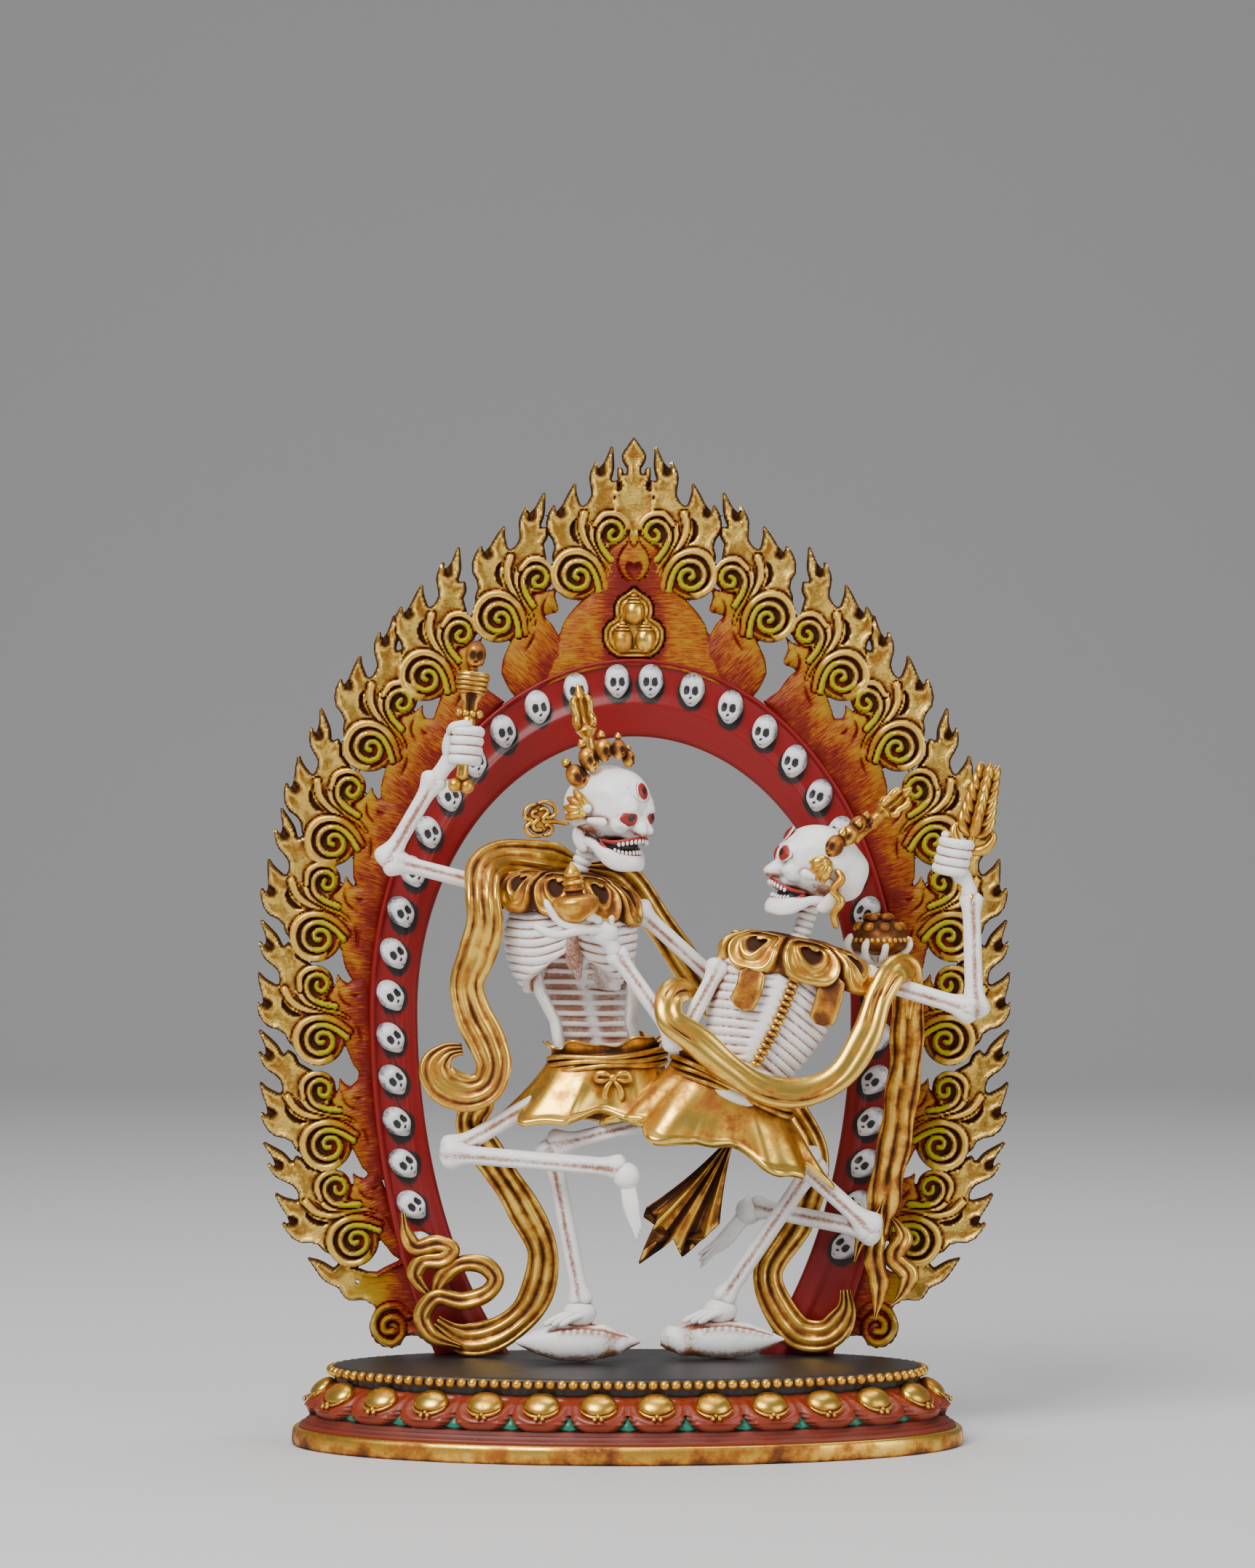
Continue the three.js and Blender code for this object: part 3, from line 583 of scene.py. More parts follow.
# %% Black neck and plate
FLUTES, STEPS_A_FLUTE, FLUTE_DEPTH = 130, 4, 0.16
plate_turns = even_turns(STEPS_A_FLUTE * FLUTES, 5)
flute = FLUTE_DEPTH * np.abs(np.sin(np.arange(STEPS_A_FLUTE * FLUTES) * math.pi / STEPS_A_FLUTE))
neck = np.array([(5.9, 7.7, 0), (5.6, 7.85, 1), (5.45, 8.3, 1), (5.4, 8.9, 1), (5.3, 9.3, 0.6),
                 (5.25, 9.75, 0), (5.35, 9.98, 0), (5.6, 10.06, 0), (6.2, PLATE_TOP, 0),
                 (9.0, PLATE_TOP, 0), (14.0, PLATE_TOP, 0)])
plate = surface(oval(plate_turns, neck[:, :1] + neck[:, 2:] * flute, neck[:, 1:2]))
make_piece("black_plate", plate, ["lotus_base"], plate_black)


# %% Beads, bosses, crescents and dots
def slope_axes(turns, inset, slope):
    """Axes on the side of the base: along the rim, out of the surface, and up the surface."""
    along = unit(oval(turns + 0.001, inset, 0) - oval(turns - 0.001, inset, 0))
    outward = np.cross(along, (0, 0, 1))
    up = -math.cos(slope) * outward + math.sin(slope) * np.array((0, 0, 1))
    return np.stack([along, np.cross(up, along), up], 1)


BEADS = 125
bead_turns = even_turns(BEADS, 5)
beads = copies(ball(size=(0.69, 0.66, 0.62), rows=7, columns=10), oval(bead_turns, 5.05, 9.42),
               slope_axes(bead_turns, 5, math.pi / 2))
SLOPE = math.radians(38)
boss_turns = even_turns(PETALS, 2)
boss_axes = slope_axes(boss_turns, 4, SLOPE)
boss_centres = oval(boss_turns, 3.95, 6.95)
bosses = copies(ball(size=(2.3, 1.1, 1.95), rows=11, columns=20), boss_centres, boss_axes)
arc = np.linspace(math.radians(200), math.radians(340), 14)
crescent_path = np.stack([2.5 * np.cos(arc), -0.32 + 0 * arc, 2.28 * np.sin(arc)], -1)
crescent = tube(crescent_path, (0.1, 0.17, 0.19, 0.17, 0.1), sides=6, steps=16)
dot_places = [(-0.42, -2.62), (0.42, -2.62), (0, -2.2)]
dots = [ball((x, -0.42, height), (0.3, 0.28, 0.3), 6, 8) for x, height in dot_places]
trims = copies(joined([crescent, *dots]), boss_centres, boss_axes)
make_piece("beads_and_bosses", joined([beads, bosses, trims]), ["lotus_base"], gold_finish)

# %% Green leaves between the petals
leaf_turns = even_turns(2 * PETALS, 2)[1::2]
leaf_path = np.array([(0, 0.15, 0), (0, 0, 0.12), (0, 0, 0.9), (0, 0.1, 1.7), (0, 0.3, 2.05)])
half_width = np.array([0.9, 1.55, 0.95, 0.25, 0.02])[:, None]
section = np.array([(-1, 0), (-0.5, 0.35), (0, 0.85), (0.5, 0.35), (1, 0), (0, -0.5)])
green_leaf = carried(leaf_path, half_width * section[:, 0], 0.6 * half_width ** 0.5 * section[:, 1])
leaves = copies(green_leaf, oval(leaf_turns, 3.15, 4.0), slope_axes(leaf_turns, 3, math.radians(68)))
make_piece("green_leaves", leaves, ["lotus_base"], leaf_green)

# %% [markdown]
# ## The arch of flames
#
# The real arch is a flat cast plate with carved relief: a horseshoe band set with skulls, and round it a
# fringe of flames that grow out of pairs of volutes. Relief like that is a height over a plane. So the plane
# of the arch is laid out as a fine grid, each place gets the distance to the carved outlines and ribbons,
# and the heights follow from those distances. Places near an outline are pulled onto it, for a clean edge.


# %% Distances in the plane of the arch
def line_distance(places, line):
    """The distance from each place to a broken line, and the share of the line at the nearest point."""
    start, step = line[:-1], np.diff(line, axis=0)
    gap = places[:, None] - start
    share = np.clip((gap * step).sum(2) / np.maximum((step ** 2).sum(1), 1e-12), 0, 1)
    distance = np.linalg.norm(gap - share[..., None] * step, axis=2)
    nearest = distance.argmin(1)
    rows = np.arange(len(places))
    return distance[rows, nearest], (nearest + share[rows, nearest]) / len(step)


def outline_distance(places, line):
    """The distance to a closed outline, negative inside. A place is inside where a level ray from it crosses
    the outline an odd number of times."""
    closed = np.vstack([line, line[:1]])
    a, b = closed[:-1], closed[1:]
    rise = np.where(b[:, 1] == a[:, 1], 1e-12, b[:, 1] - a[:, 1])
    x, height = places[:, :1], places[:, 1:]
    meeting = a[:, 0] + (height - a[:, 1]) * (b - a)[:, 0] / rise
    crossed = ((a[:, 1] > height) != (b[:, 1] > height)) & (x < meeting)
    return line_distance(places, closed)[0] * np.where(crossed.sum(1) % 2 == 1, -1, 1)


def strokes(*parts, fine=9):
    """One outline from several smooth strokes that meet in sharp corners."""
    return np.vstack([curve(part, fine if len(part) > 2 else 2)[:-1] for part in parts])


# %% One unit of flames, in its own plane
# u runs outwards and v runs back along the arch, both in mm from the middle of the large volute.
FLAME_OUTLINE = strokes(
    [(2.6, -1.6), (4.3, -0.1), (5.1, 1.5), (6.6, 1.9), (7.9, 3.3), (8.3, 5.1)],
    [(8.3, 5.1), (7.9, 4.65), (7.45, 4.7)],
    [(7.45, 4.7), (7.4, 6.0), (7.7, 7.4), (7.9, 9.0)],
    [(7.9, 9.0), (7.3, 8.3), (5.9, 7.3)],
    [(5.9, 7.3), (5.3, 7.3), (5.0, 8.0)],
    [(5.0, 8.0), (5.2, 9.3), (7.0, 11.2), (7.5, 13.0)],
    [(7.5, 13.0), (7.15, 12.45), (6.65, 12.5)],
    [(6.65, 12.5), (6.55, 13.6), (7.1, 15.8)],
    [(7.1, 15.8), (5.3, 13.7), (4.8, 12.5)],
    [(4.8, 12.5), (4.4, 12.2), (3.8, 12.7)],
    [(3.8, 12.7), (3.1, 12.0), (2.8, 10.9)],
    [(2.8, 10.9), (1.0, 9.5), (-0.5, 6.0), (-1.0, 2.0), (0.0, -2.0), (2.6, -1.6)],
)
LARGE_MIDDLE, LARGE_RADIUS = (0.5, 0.0), 3.4
SMALL_MIDDLE, SMALL_RADIUS = (0.55, 7.35), 2.3
BAYS = [np.array([(7.3, 13.6), (6.25, 12.45)]), np.array([(8.0, 5.6), (7.0, 4.95)])]
HOLLOW = strokes([(4.95, 6.1), (4.75, 5.2), (4.0, 4.2), (3.0, 3.6), (2.3, 3.3)],
                 [(2.3, 3.3), (3.5, 3.1), (4.6, 3.7), (5.2, 4.8), (4.95, 6.1)])
LEDGE = 1.05


def body_leaf(root, open_notch):
    """The leaf that joins the volutes to the band, with a bird-like head towards the crown. Near the crown a
    notch behind the beak runs down to the band; lower on the arch the leaf grows into the next one."""
    beak = ([(-2.4, 8.4), (-3.2, 7.0), (-4.3, 6.4), (-4.8, 5.8), (-4.3, 5.1)], [(-4.3, 5.1), (-3.9, 4.2)],
            [(-3.9, 4.2), (-5.4, 4.1), (-7.3, 3.5)], [(-7.3, 3.5), (root, 3.6)], [(root, 3.6), (root, -6.4)])
    grown = ([(-2.4, 8.4), (-2.9, 7.6), (-3.6, 7.1)], [(-3.6, 7.1), (-4.7, 7.9), (-5.0, 9.4), (-4.8, 11.4)],
             [(-4.8, 11.4), (root, 11.4)], [(root, 11.4), (root, -6.4)])
    return strokes(
        [(-0.9, 5.6), (-2.0, 7.0), (-2.4, 8.4)],
        *(beak if open_notch else grown),
        [(root, -6.4), (-7.0, -5.9), (-4.9, -5.1)],
        [(-4.9, -5.1), (-3.8, -3.65), (-3.2, -2.0), (-2.6, -0.5), (-1.4, 0.6)],
        [(-1.4, 0.6), (-0.9, 5.6)],
    )


CROWN_LEAF = strokes([(-0.9, 5.6), (-3.4, 4.6)], [(-3.4, 4.6), (-5.2, 1.5)], [(-5.2, 1.5), (-4.6, -3.3)],
                     [(-4.6, -3.3), (-3.6, -2.4), (-3.0, -1.6), (-2.6, -0.5), (-1.4, 0.6)],
                     [(-1.4, 0.6), (-0.9, 5.6)])

# Each ribbon: its middle line, its half-width at the start and at the end, and its height.
RIBBONS = [
    (curve([(2.8, 6.4), (1.95, 5.0), (0.1, 3.95), (-2.5, 3.2), (-4.4, 1.9)], 30), 0.42, 0.2, 1.85),
    (curve([(4.6, 6.75), (3.75, 5.2), (2.4, 4.2), (0.1, 3.35), (-2.4, 2.3)], 30), 0.55, 0.24, 2.0),
    (curve([(-3.6, 0.8), (-2.2, 2.0), (-0.7, 2.7), (0.9, 2.85), (2.5, 2.2), (3.4, 0.8), (3.3, -1.0),
            (2.3, -2.4), (0.7, -2.95), (-0.9, -2.6), (-2.0, -1.6)], 60), 0.46, 0.62, 2.0),
    (curve([(-3.2, 0.1), (-1.8, 1.2), (-0.2, 1.85), (1.2, 1.6), (2.05, 0.5), (1.9, -0.9), (0.8, -1.75),
            (-0.6, -1.6), (-1.35, -0.5), (-0.95, 0.6), (0.0, 0.9), (0.75, 0.35), (0.5, -0.4), (0.0, -0.35)],
           70), 0.42, 0.34, 2.15),
    (curve([(2.55, 6.6), (2.5, 8.3), (1.2, 9.35), (-0.6, 9.2), (-1.6, 8.1)], 30), 0.42, 0.46, 1.95),
    (curve([(-1.9, 4.2), (0.0, 4.75), (1.35, 5.7), (1.75, 7.1), (1.2, 8.2), (0.1, 8.5), (-0.85, 7.9),
            (-0.95, 6.9), (-0.3, 6.3), (0.4, 6.7), (0.3, 7.35)], 60), 0.42, 0.3, 2.1),
]
YELLOW_COILS = (3, 5)
SLOTS = [
    curve([(-2.4, 6.5), (-2.9, 4.9), (-4.5, 3.75)], 12),
    curve([(-5.1, 5.5), (-4.3, 5.45), (-4.0, 5.7)], 8),
    curve([(-4.4, 1.9), (-4.9, 0.6), (-5.2, -0.8)], 8),
]


def flame_relief(u, v, root, bird_head, open_notch):
    """The distance outside the unit's outline, the height over the back, the share of the way from the gilt
    edge to the red root, and where the coils are yellow. Faces are dished behind a thin rim; ribbons are
    round and lie in grooves."""
    places = np.stack([u, v], -1)
    large = np.hypot(u - LARGE_MIDDLE[0], v - LARGE_MIDDLE[1]) - LARGE_RADIUS
    small = np.hypot(u - SMALL_MIDDLE[0], v - SMALL_MIDDLE[1]) - SMALL_RADIUS
    gilt_edge = np.minimum.reduce([outline_distance(places, FLAME_OUTLINE) - 0.2, large, small])
    leaf = outline_distance(places, body_leaf(root, open_notch) if bird_head else CROWN_LEAF)
    face_edge = gilt_edge
    for bay in BAYS:
        face_edge = np.maximum(face_edge, 0.45 - line_distance(places, bay)[0])
    height = np.maximum(rimmed(-face_edge) + np.where(gilt_edge < 0, 1e-3, 0), swelling(leaf))
    floor = eased(np.maximum(-large, -small), 0.35, 0.7)
    height = height + (1.15 - height) * floor
    lemon = np.zeros(len(places))
    for number, (line, start, end, top) in enumerate(RIBBONS):
        distance, share = line_distance(places, line)
        if number in YELLOW_COILS:
            lemon = np.maximum(lemon, (1 - eased(distance, 0.34, 0.46)) * (1 - eased(u, -0.1, 1.5)))
        half = start + (end - start) * share
        fade = 1 - eased(share, 0.8, 1.0) * (u < -1.2)
        groove = (1 - eased(distance, half, half + 0.22)) * 0.8 * fade
        height = height + (1.12 - height) * groove
        crest = 1.2 + (top - 1.2) * np.clip(1 - (distance / half) ** 2, 0, 1) ** 0.42
        height = np.where((distance < half) & (fade > 0.5), np.maximum(height, crest), height)
    height = height + (0.55 - height) * (1 - eased(outline_distance(places, HOLLOW), -0.22, 0.0))
    for line in SLOTS:
        distance, share = line_distance(places, line)
        depth = 0.5 * np.sin(math.pi * np.clip(share, 0.08, 0.92)) ** 0.5
        height = height - (1 - eased(distance, 0.02, 0.36)) * depth
    warmth = np.clip((0.9 - u) / (0.9 - root - 0.6), 0, 1)
    return np.minimum(gilt_edge, leaf), np.maximum(height, 0.45), warmth, lemon


def swelling(gap):
    """The height of a leaf or a ground by its distance outside the outline: it swells up behind the ledge."""
    return np.where(gap < 0, LEDGE + 0.95 * (1 - np.exp(gap / 0.8)), 0)


def rimmed(depth):
    """A gilt face's height by the depth inside its outline: a dark ledge, a thin rim, then a dished face."""
    face = 1.5 + 0.32 * bell(depth - 0.42, 0.15) - 0.12 * eased(depth, 0.6, 1.6)
    return np.where(depth > 0, LEDGE + (face - LEDGE) * eased(depth, 0.14, 0.32), 0)


# %% Places of the units and the horseshoe of the band
LARGE_VOLUTES = [(-7.1, 111.5), (-17.4, 105.9), (-26.9, 98.3), (-34.2, 89.1), (-39.1, 76.9), (-41, 64.5),
                 (-40.6, 51.1), (-39.7, 37.4), (-36.2, 25)]
SMALL_VOLUTES = [(-2.6, 117.2), (-12.7, 110.9), (-22.3, 104.3), (-30.2, 95.1), (-36.9, 83.5), (-40.1, 71.4),
                 (-41, 58.3), (-40.6, 44.2), (-38.4, 31.1)]
ARCH_MIDDLE = 54.8
OUTER = {"side": 34.5, "up": 46.0, "down": 67.9}
INNER = {"side": 28.3, "up": 35.8, "down": 54.6}
ARCH_BACK, ARCH_FOOT, ARCH_HALF_WIDTH = 12.0, 10.12, 49.1


def outside_band(x, height):
    """About how far a place lies outside the band's outer edge: the oval's own measure over its slope."""
    rise = np.where(height > ARCH_MIDDLE, OUTER["up"], OUTER["down"])
    across, up = x / OUTER["side"], (height - ARCH_MIDDLE) / rise
    size = np.hypot(across, up)
    slope = np.hypot(across / OUTER["side"], up / rise) / np.maximum(size, 1e-6)
    return (size - 1) / np.maximum(slope, 1e-6)


# %% Crown, jewels and feet of the fringe
def both_sides(right):
    """An outline from its right half, which starts and ends on the middle line."""
    left = right[::-1] * (-1, 1)
    return np.vstack([right, left])


SPADE = both_sides(strokes(
    [(0, 129.55), (0.75, 128.5), (1.5, 127.3), (1.35, 126.5), (0.85, 125.7)],
    [(0.85, 125.7), (0.9, 124.9), (1.5, 124.8)],
    [(1.5, 124.8), (1.6, 125.5), (2.05, 125.6)],
    [(2.05, 125.6), (2.05, 124.3), (1.6, 123.3), (1.8, 122.8), (2.6, 122.6)],
    [(2.6, 122.6), (2.7, 121.0), (2.6, 119.4), (1.2, 118.4), (0.5, 116.6), (0.6, 115.0), (2.6, 113.0)],
    [(2.6, 113.0), (3.2, 106.0)],
))
MASK = both_sides(strokes(
    [(0, 115.5), (0.35, 115.9), (0.62, 116.6)],
    [(0.62, 116.6), (1.1, 115.6), (1.75, 114.8), (2.2, 113.6), (2.0, 112.2), (1.2, 111.0), (0, 110.3)],
))
GROUND = both_sides(strokes([(0, 117.0), (2.0, 116.4), (4.4, 112.0)], [(4.4, 112.0), (5.6, 109.6)],
                            [(5.6, 109.6), (6.7, 108.5), (8.2, 106.9), (9.3, 105.2), (9.9, 103.2)],
                            [(9.9, 103.2), (12.4, 101.9)], [(12.4, 101.9), (12.4, 96.5)],
                            [(12.4, 96.5), (0, 96.5)]))
HEART = both_sides(strokes([(0, 112.9), (0.35, 113.3), (0.8, 113.3), (1.1, 112.9)],
                           [(1.1, 112.9), (0.9, 112.0), (0, 110.9)]))
TREFOIL = both_sides(strokes([(0, 110.3), (0.8, 109.6), (2.2, 108.6), (2.7, 107.0), (2.5, 106.1)],
                             [(2.5, 106.1), (3.7, 105.3), (4.2, 104.0), (3.6, 101.9), (1.8, 100.7),
                              (0, 101.1)]))
JEWELS = [(0.0, 106.9), (-1.42, 103.3), (1.42, 103.3)]
FOOT_LEAF = strokes(
    [(24, 9), (28.6, 12.4), (29.9, 12.2)],
    [(29.9, 12.2), (30.4, 11.2), (31.9, 10.7), (33.8, 11.6), (34.6, 13.6), (33.7, 16.0)],
    [(33.7, 16.0), (35.2, 17.0), (37.4, 17.0), (38.6, 18.6)],
    [(38.6, 18.6), (40.4, 19.5), (42.7, 22.6)],
    [(42.7, 22.6), (41.0, 22.2), (39.2, 21.2)],
    [(39.2, 21.2), (38.6, 21.9), (38.6, 23.2)],
    [(38.6, 23.2), (37.4, 21.8), (36.0, 21.2)],
    [(36.0, 21.2), (34.0, 20.6), (32.4, 21.4), (30.0, 22.5), (27.0, 24.0)],
)
FOOT_CURL = curve([(29.4, 14.9), (30.9, 16.3), (32.9, 15.9), (34.0, 14.0), (33.2, 12.1), (31.6, 11.4),
                   (30.2, 12.5), (30.2, 14.0), (31.4, 14.9), (32.6, 14.2), (32.5, 13.0), (31.5, 12.9)], 50)


def crown_relief(x, z):
    """The spade of the crown, the mask-like leaf under it, and the trefoil behind the jewels."""
    places = np.stack([x, z], -1)
    spade = outline_distance(places, SPADE) - 0.12
    height = rimmed(-spade)
    low = 1.35 + 0.25 * (1 - eased(np.abs(x), 0, 2.2))
    height = np.where((spade < 0) & (z < 118), np.minimum(height, low), height)
    ground = outline_distance(places, GROUND)
    height = np.maximum(height, swelling(ground))
    mask, heart = outline_distance(places, MASK), outline_distance(places, HEART)
    height = np.where(mask < 0, LEDGE + 0.75 * (1 - np.exp(mask / 0.25)), height)
    height = height + (1.05 - height) * (1 - eased(heart, -0.2, 0.05))
    trefoil = outline_distance(places, TREFOIL)
    steps = 1.7 + 0.45 * bell(trefoil + 0.42, 0.2) + 0.4 * bell(trefoil + 1.1, 0.22)
    height = np.where(trefoil < 0, np.maximum(steps * eased(-trefoil, -0.1, 0.25), LEDGE), height)
    warmth = 0.98 - 0.98 * eased(z, 113.2, 118.0) - 0.42 * eased(np.abs(x), 2.2, 5.5)
    warmth = np.where(mask < 0, 0.5 + 0.4 * (heart < 0.1), warmth)
    on_trefoil = 0.04 + 0.4 * eased(-trefoil, 0.6, 0.0) * eased(np.abs(x), 1.2, 3.0)
    warmth = np.where(trefoil < 0, on_trefoil, warmth)
    return np.minimum.reduce([spade, mask, trefoil, ground]), height, warmth, 0 * height


def foot_relief(x, z):
    """The curled leaf at the foot, with one small flame and a round curl."""
    places = np.stack([np.abs(x), z], -1)
    leaf = outline_distance(places, FOOT_LEAF)
    height = rimmed(-leaf)
    distance = line_distance(places, FOOT_CURL)[0]
    height = height + (1.05 - height) * (1 - eased(distance, 0.45, 0.7))
    curl = 1.15 + 0.95 * np.sqrt(np.clip(1 - (distance / 0.45) ** 2, 0, 1))
    height = np.where(distance < 0.45, curl, height)
    hole = np.hypot(places[:, 0] - 36.1, z - 19.4) - 0.3
    warmth = np.clip(1 - outside_band(x, z) / 6.5, 0.12, 1) * eased(38.5 - places[:, 0], 0, 2)
    return np.maximum(leaf, -hole), np.where(leaf < 0, np.maximum(height, LEDGE), 0), warmth, 0 * height


# %% The relief of the whole fringe on one grid
STEP = 0.21
columns = np.arange(-50.0, 0.01, STEP)
levels = np.arange(ARCH_FOOT, 130.1, STEP)
grid_x, grid_z = np.meshgrid(columns, levels)
field = {"gap": np.full(grid_x.shape, 9.0), "height": np.zeros(grid_x.shape), "warmth": np.ones(grid_x.shape),
         "lemon": grid_x * 0.0, "stroke_u": grid_x * 0.0, "stroke_v": grid_x * 0.0}


def carve(chosen, gap, height, warmth, lemon, u, v):
    """Adds a part's relief to the field: the nearer outline and the greater height win."""
    inside = np.where(gap < 0.3, height, 0)
    higher = inside >= field["height"][chosen]
    for key, value in (("warmth", warmth), ("lemon", lemon), ("stroke_u", u), ("stroke_v", v),
                       ("height", inside)):
        field[key][chosen] = np.where(higher, value, field[key][chosen])
    field["gap"][chosen] = np.minimum(field["gap"][chosen], gap)


def reach(middle, out):
    """How far the middle of a volute lies outside the band, measured along the unit's own direction."""
    steps = np.arange(0, 16, 0.05)
    line = middle - steps[:, None] * out
    return steps[np.argmax(outside_band(line[:, 0], line[:, 1]) < 0)]


for large, small in zip(LARGE_VOLUTES, SMALL_VOLUTES):
    middle = np.array(large)
    back = unit(np.array(small) - middle)
    out = np.array([-back[1], back[0]])
    at_crown = large == LARGE_VOLUTES[0]
    root = -12.0 if at_crown else -reach(middle, out) - 0.6
    u = (grid_x - middle[0]) * out[0] + (grid_z - middle[1]) * out[1]
    v = (grid_x - middle[0]) * back[0] + (grid_z - middle[1]) * back[1]
    chosen = (u > root - 0.3) & (u < 9) & (v > -7) & (v < 16.4)
    if large == LARGE_VOLUTES[1]:
        chosen &= (grid_x < -9.8) | (grid_z > 104.5)
    open_notch = large in LARGE_VOLUTES[1:3]
    carve(chosen, *flame_relief(u[chosen], v[chosen], root, not at_crown, open_notch), u[chosen], v[chosen])

chosen = (grid_x > -12.9) & (grid_z > 97)
carve(chosen, *crown_relief(grid_x[chosen], grid_z[chosen]), grid_x[chosen], grid_z[chosen])
chosen = (grid_x < -22) & (grid_z < 25)
carve(chosen, *foot_relief(grid_x[chosen], grid_z[chosen]), grid_x[chosen], grid_z[chosen])
over = outside_band(grid_x, grid_z)
field["gap"] = np.maximum(field["gap"], -over - 0.9)
print("carved a grid of", grid_x.shape, "places")


# %% From the relief to a mesh
def blurred(values, inside, radius):
    """The average height round each place, counted over the places inside the outline only."""
    cells = int(round(radius / STEP))
    kernel = np.hanning(2 * cells + 3)[1:-1]
    amount, weight = values * inside, inside.astype(float)
    for axis in (0, 1):
        amount, weight = (np.apply_along_axis(np.convolve, axis, data, kernel, "same")
                          for data in (amount, weight))
    return amount / np.maximum(weight, 1e-6)


def whole(values, odd=False):
    """The field of the left half, mirrored to the right; an odd number changes its sign there."""
    return np.hstack([values, (-1 if odd else 1) * values[:, -2::-1]])


x, z, gap, height = whole(grid_x, True), whole(grid_z), whole(field["gap"]), whole(field["height"])
slope_z, slope_x = np.gradient(gap, STEP)
steep = np.maximum(np.hypot(slope_x, slope_z), 0.5)
snap = np.abs(gap) < 0.56 * STEP
pull = np.where(snap, np.clip(gap / steep, -STEP, STEP), 0)
snapped_x = np.clip(x - pull * slope_x / steep, -ARCH_HALF_WIDTH, ARCH_HALF_WIDTH)
snapped_z = np.maximum(z - pull * slope_z / steep, ARCH_FOOT)
solid = (gap < 0) | snap
height = np.where(solid, np.maximum(height, LEDGE * 0.45), 0)
average = blurred(height, gap < 0, 0.9)
numbers = {key: whole(field[key]) for key in ("warmth", "lemon", "stroke_u", "stroke_v")}
numbers.update(low=np.clip((average - height) / 0.4, -1, 1), behind=0 * x)

index = np.arange(x.size).reshape(x.shape)
corners = np.stack([index[:-1, :-1], index[:-1, 1:], index[1:, 1:], index[1:, :-1]], -1).reshape(-1, 4)
in_corners = solid.ravel()[corners]
middle_gap = gap.ravel()[corners].mean(1)
front_quads = corners[(in_corners.sum(1) == 4) & (middle_gap < 0)]
cut_corner = (in_corners.sum(1) == 3) & (middle_gap < 0.5 * STEP)
front_triangles = corners[cut_corner][in_corners[cut_corner]].reshape(-1, 3)
sides = np.vstack([front_quads[:, [i, (i + 1) % 4]] for i in range(4)]
                  + [front_triangles[:, [i, (i + 1) % 3]] for i in range(3)])
keys = sides.min(1) * x.size + sides.max(1)
_, first, count = np.unique(keys, return_index=True, return_counts=True)
border = sides[first[count == 1]]
print(len(front_quads), "cells and", len(border), "places on the outline")

# %% A flat back for the fringe
# The back is cut into triangles along the outline. Triangles that no outline edge parts get one label, and a
# labelled patch stays where most of its area lies inside the relief.
front = np.stack([snapped_x.ravel(), ARCH_BACK - height.ravel(), snapped_z.ravel()], -1)
rim_points = np.unique(border)
order = np.full(x.size, -1)
order[rim_points] = np.arange(len(rim_points))
rim_back = front[rim_points] * (1, 0, 1) + (0, ARCH_BACK, 0)
made = delaunay_2d_cdt(rim_back[:, [0, 2]].tolist(), order[border].tolist(), [], 1, 1e-6)
flat_points, flat_faces = np.array(made[0]), np.array(made[2])
is_border = np.array([len(source) > 0 for source in made[4]])
border_keys = np.array(made[1])[is_border]
border_keys = border_keys.min(1) * len(flat_points) + border_keys.max(1)
sides = np.sort(np.stack([flat_faces, np.roll(flat_faces, -1, 1)], -1), -1).reshape(-1, 2)
keys = sides[:, 0] * len(flat_points) + sides[:, 1]
owner = np.repeat(np.arange(len(flat_faces)), 3)
by_key = np.argsort(keys, kind="stable")
pair = np.flatnonzero((keys[by_key][1:] == keys[by_key][:-1]) & ~np.isin(keys[by_key][1:], border_keys))
one, other = owner[by_key[pair]], owner[by_key[pair + 1]]
label = np.arange(len(flat_faces))
before = None
while before is None or (label != before).any():
    lowest = np.minimum(label[one], label[other])
    before = label.copy()
    np.minimum.at(label, one, lowest)
    np.minimum.at(label, other, lowest)
    label = label[label]
corner = flat_points[flat_faces]
centre = corner.mean(1)
edge_a, edge_b = corner[:, 1] - corner[:, 0], corner[:, 2] - corner[:, 0]
area = np.abs(edge_a[:, 0] * edge_b[:, 1] - edge_a[:, 1] * edge_b[:, 0])
column = np.clip(np.rint((centre[:, 0] - x[0, 0]) / STEP).astype(int), 0, x.shape[1] - 1)
level = np.clip(np.rint((centre[:, 1] - levels[0]) / STEP).astype(int), 0, x.shape[0] - 1)
vote = np.bincount(label, weights=area * np.sign(gap[level, column]), minlength=len(label))
flat_faces = flat_faces[vote[label] < 0]
print("back of", len(flat_faces), "triangles")

# %% The fringe, with walls from its front to its back
back = np.stack([flat_points[:, 0], np.full(len(flat_points), ARCH_BACK), flat_points[:, 1]], -1)
used = np.unique(np.r_[front_quads.ravel(), front_triangles.ravel()])
place = np.full(x.size, -1)
place[used] = np.arange(len(used))
wall_start, back_start = len(used), len(used) + len(rim_points)
walls = np.stack([place[border[:, 1]], place[border[:, 0]], wall_start + order[border[:, 0]],
                  wall_start + order[border[:, 1]]], -1)
at_wall = {key: np.r_[value.ravel()[used], value.ravel()[rim_points], np.zeros(len(back))]
           for key, value in numbers.items()}
at_wall["behind"][wall_start:] = 1
fringe = {"points": np.vstack([front[used], rim_back, back]),
          "quads": np.vstack([place[front_quads], walls]),
          "triangles": np.vstack([place[front_triangles], flat_faces + back_start]),
          "numbers": at_wall}
print("walls of", len(walls), "faces")


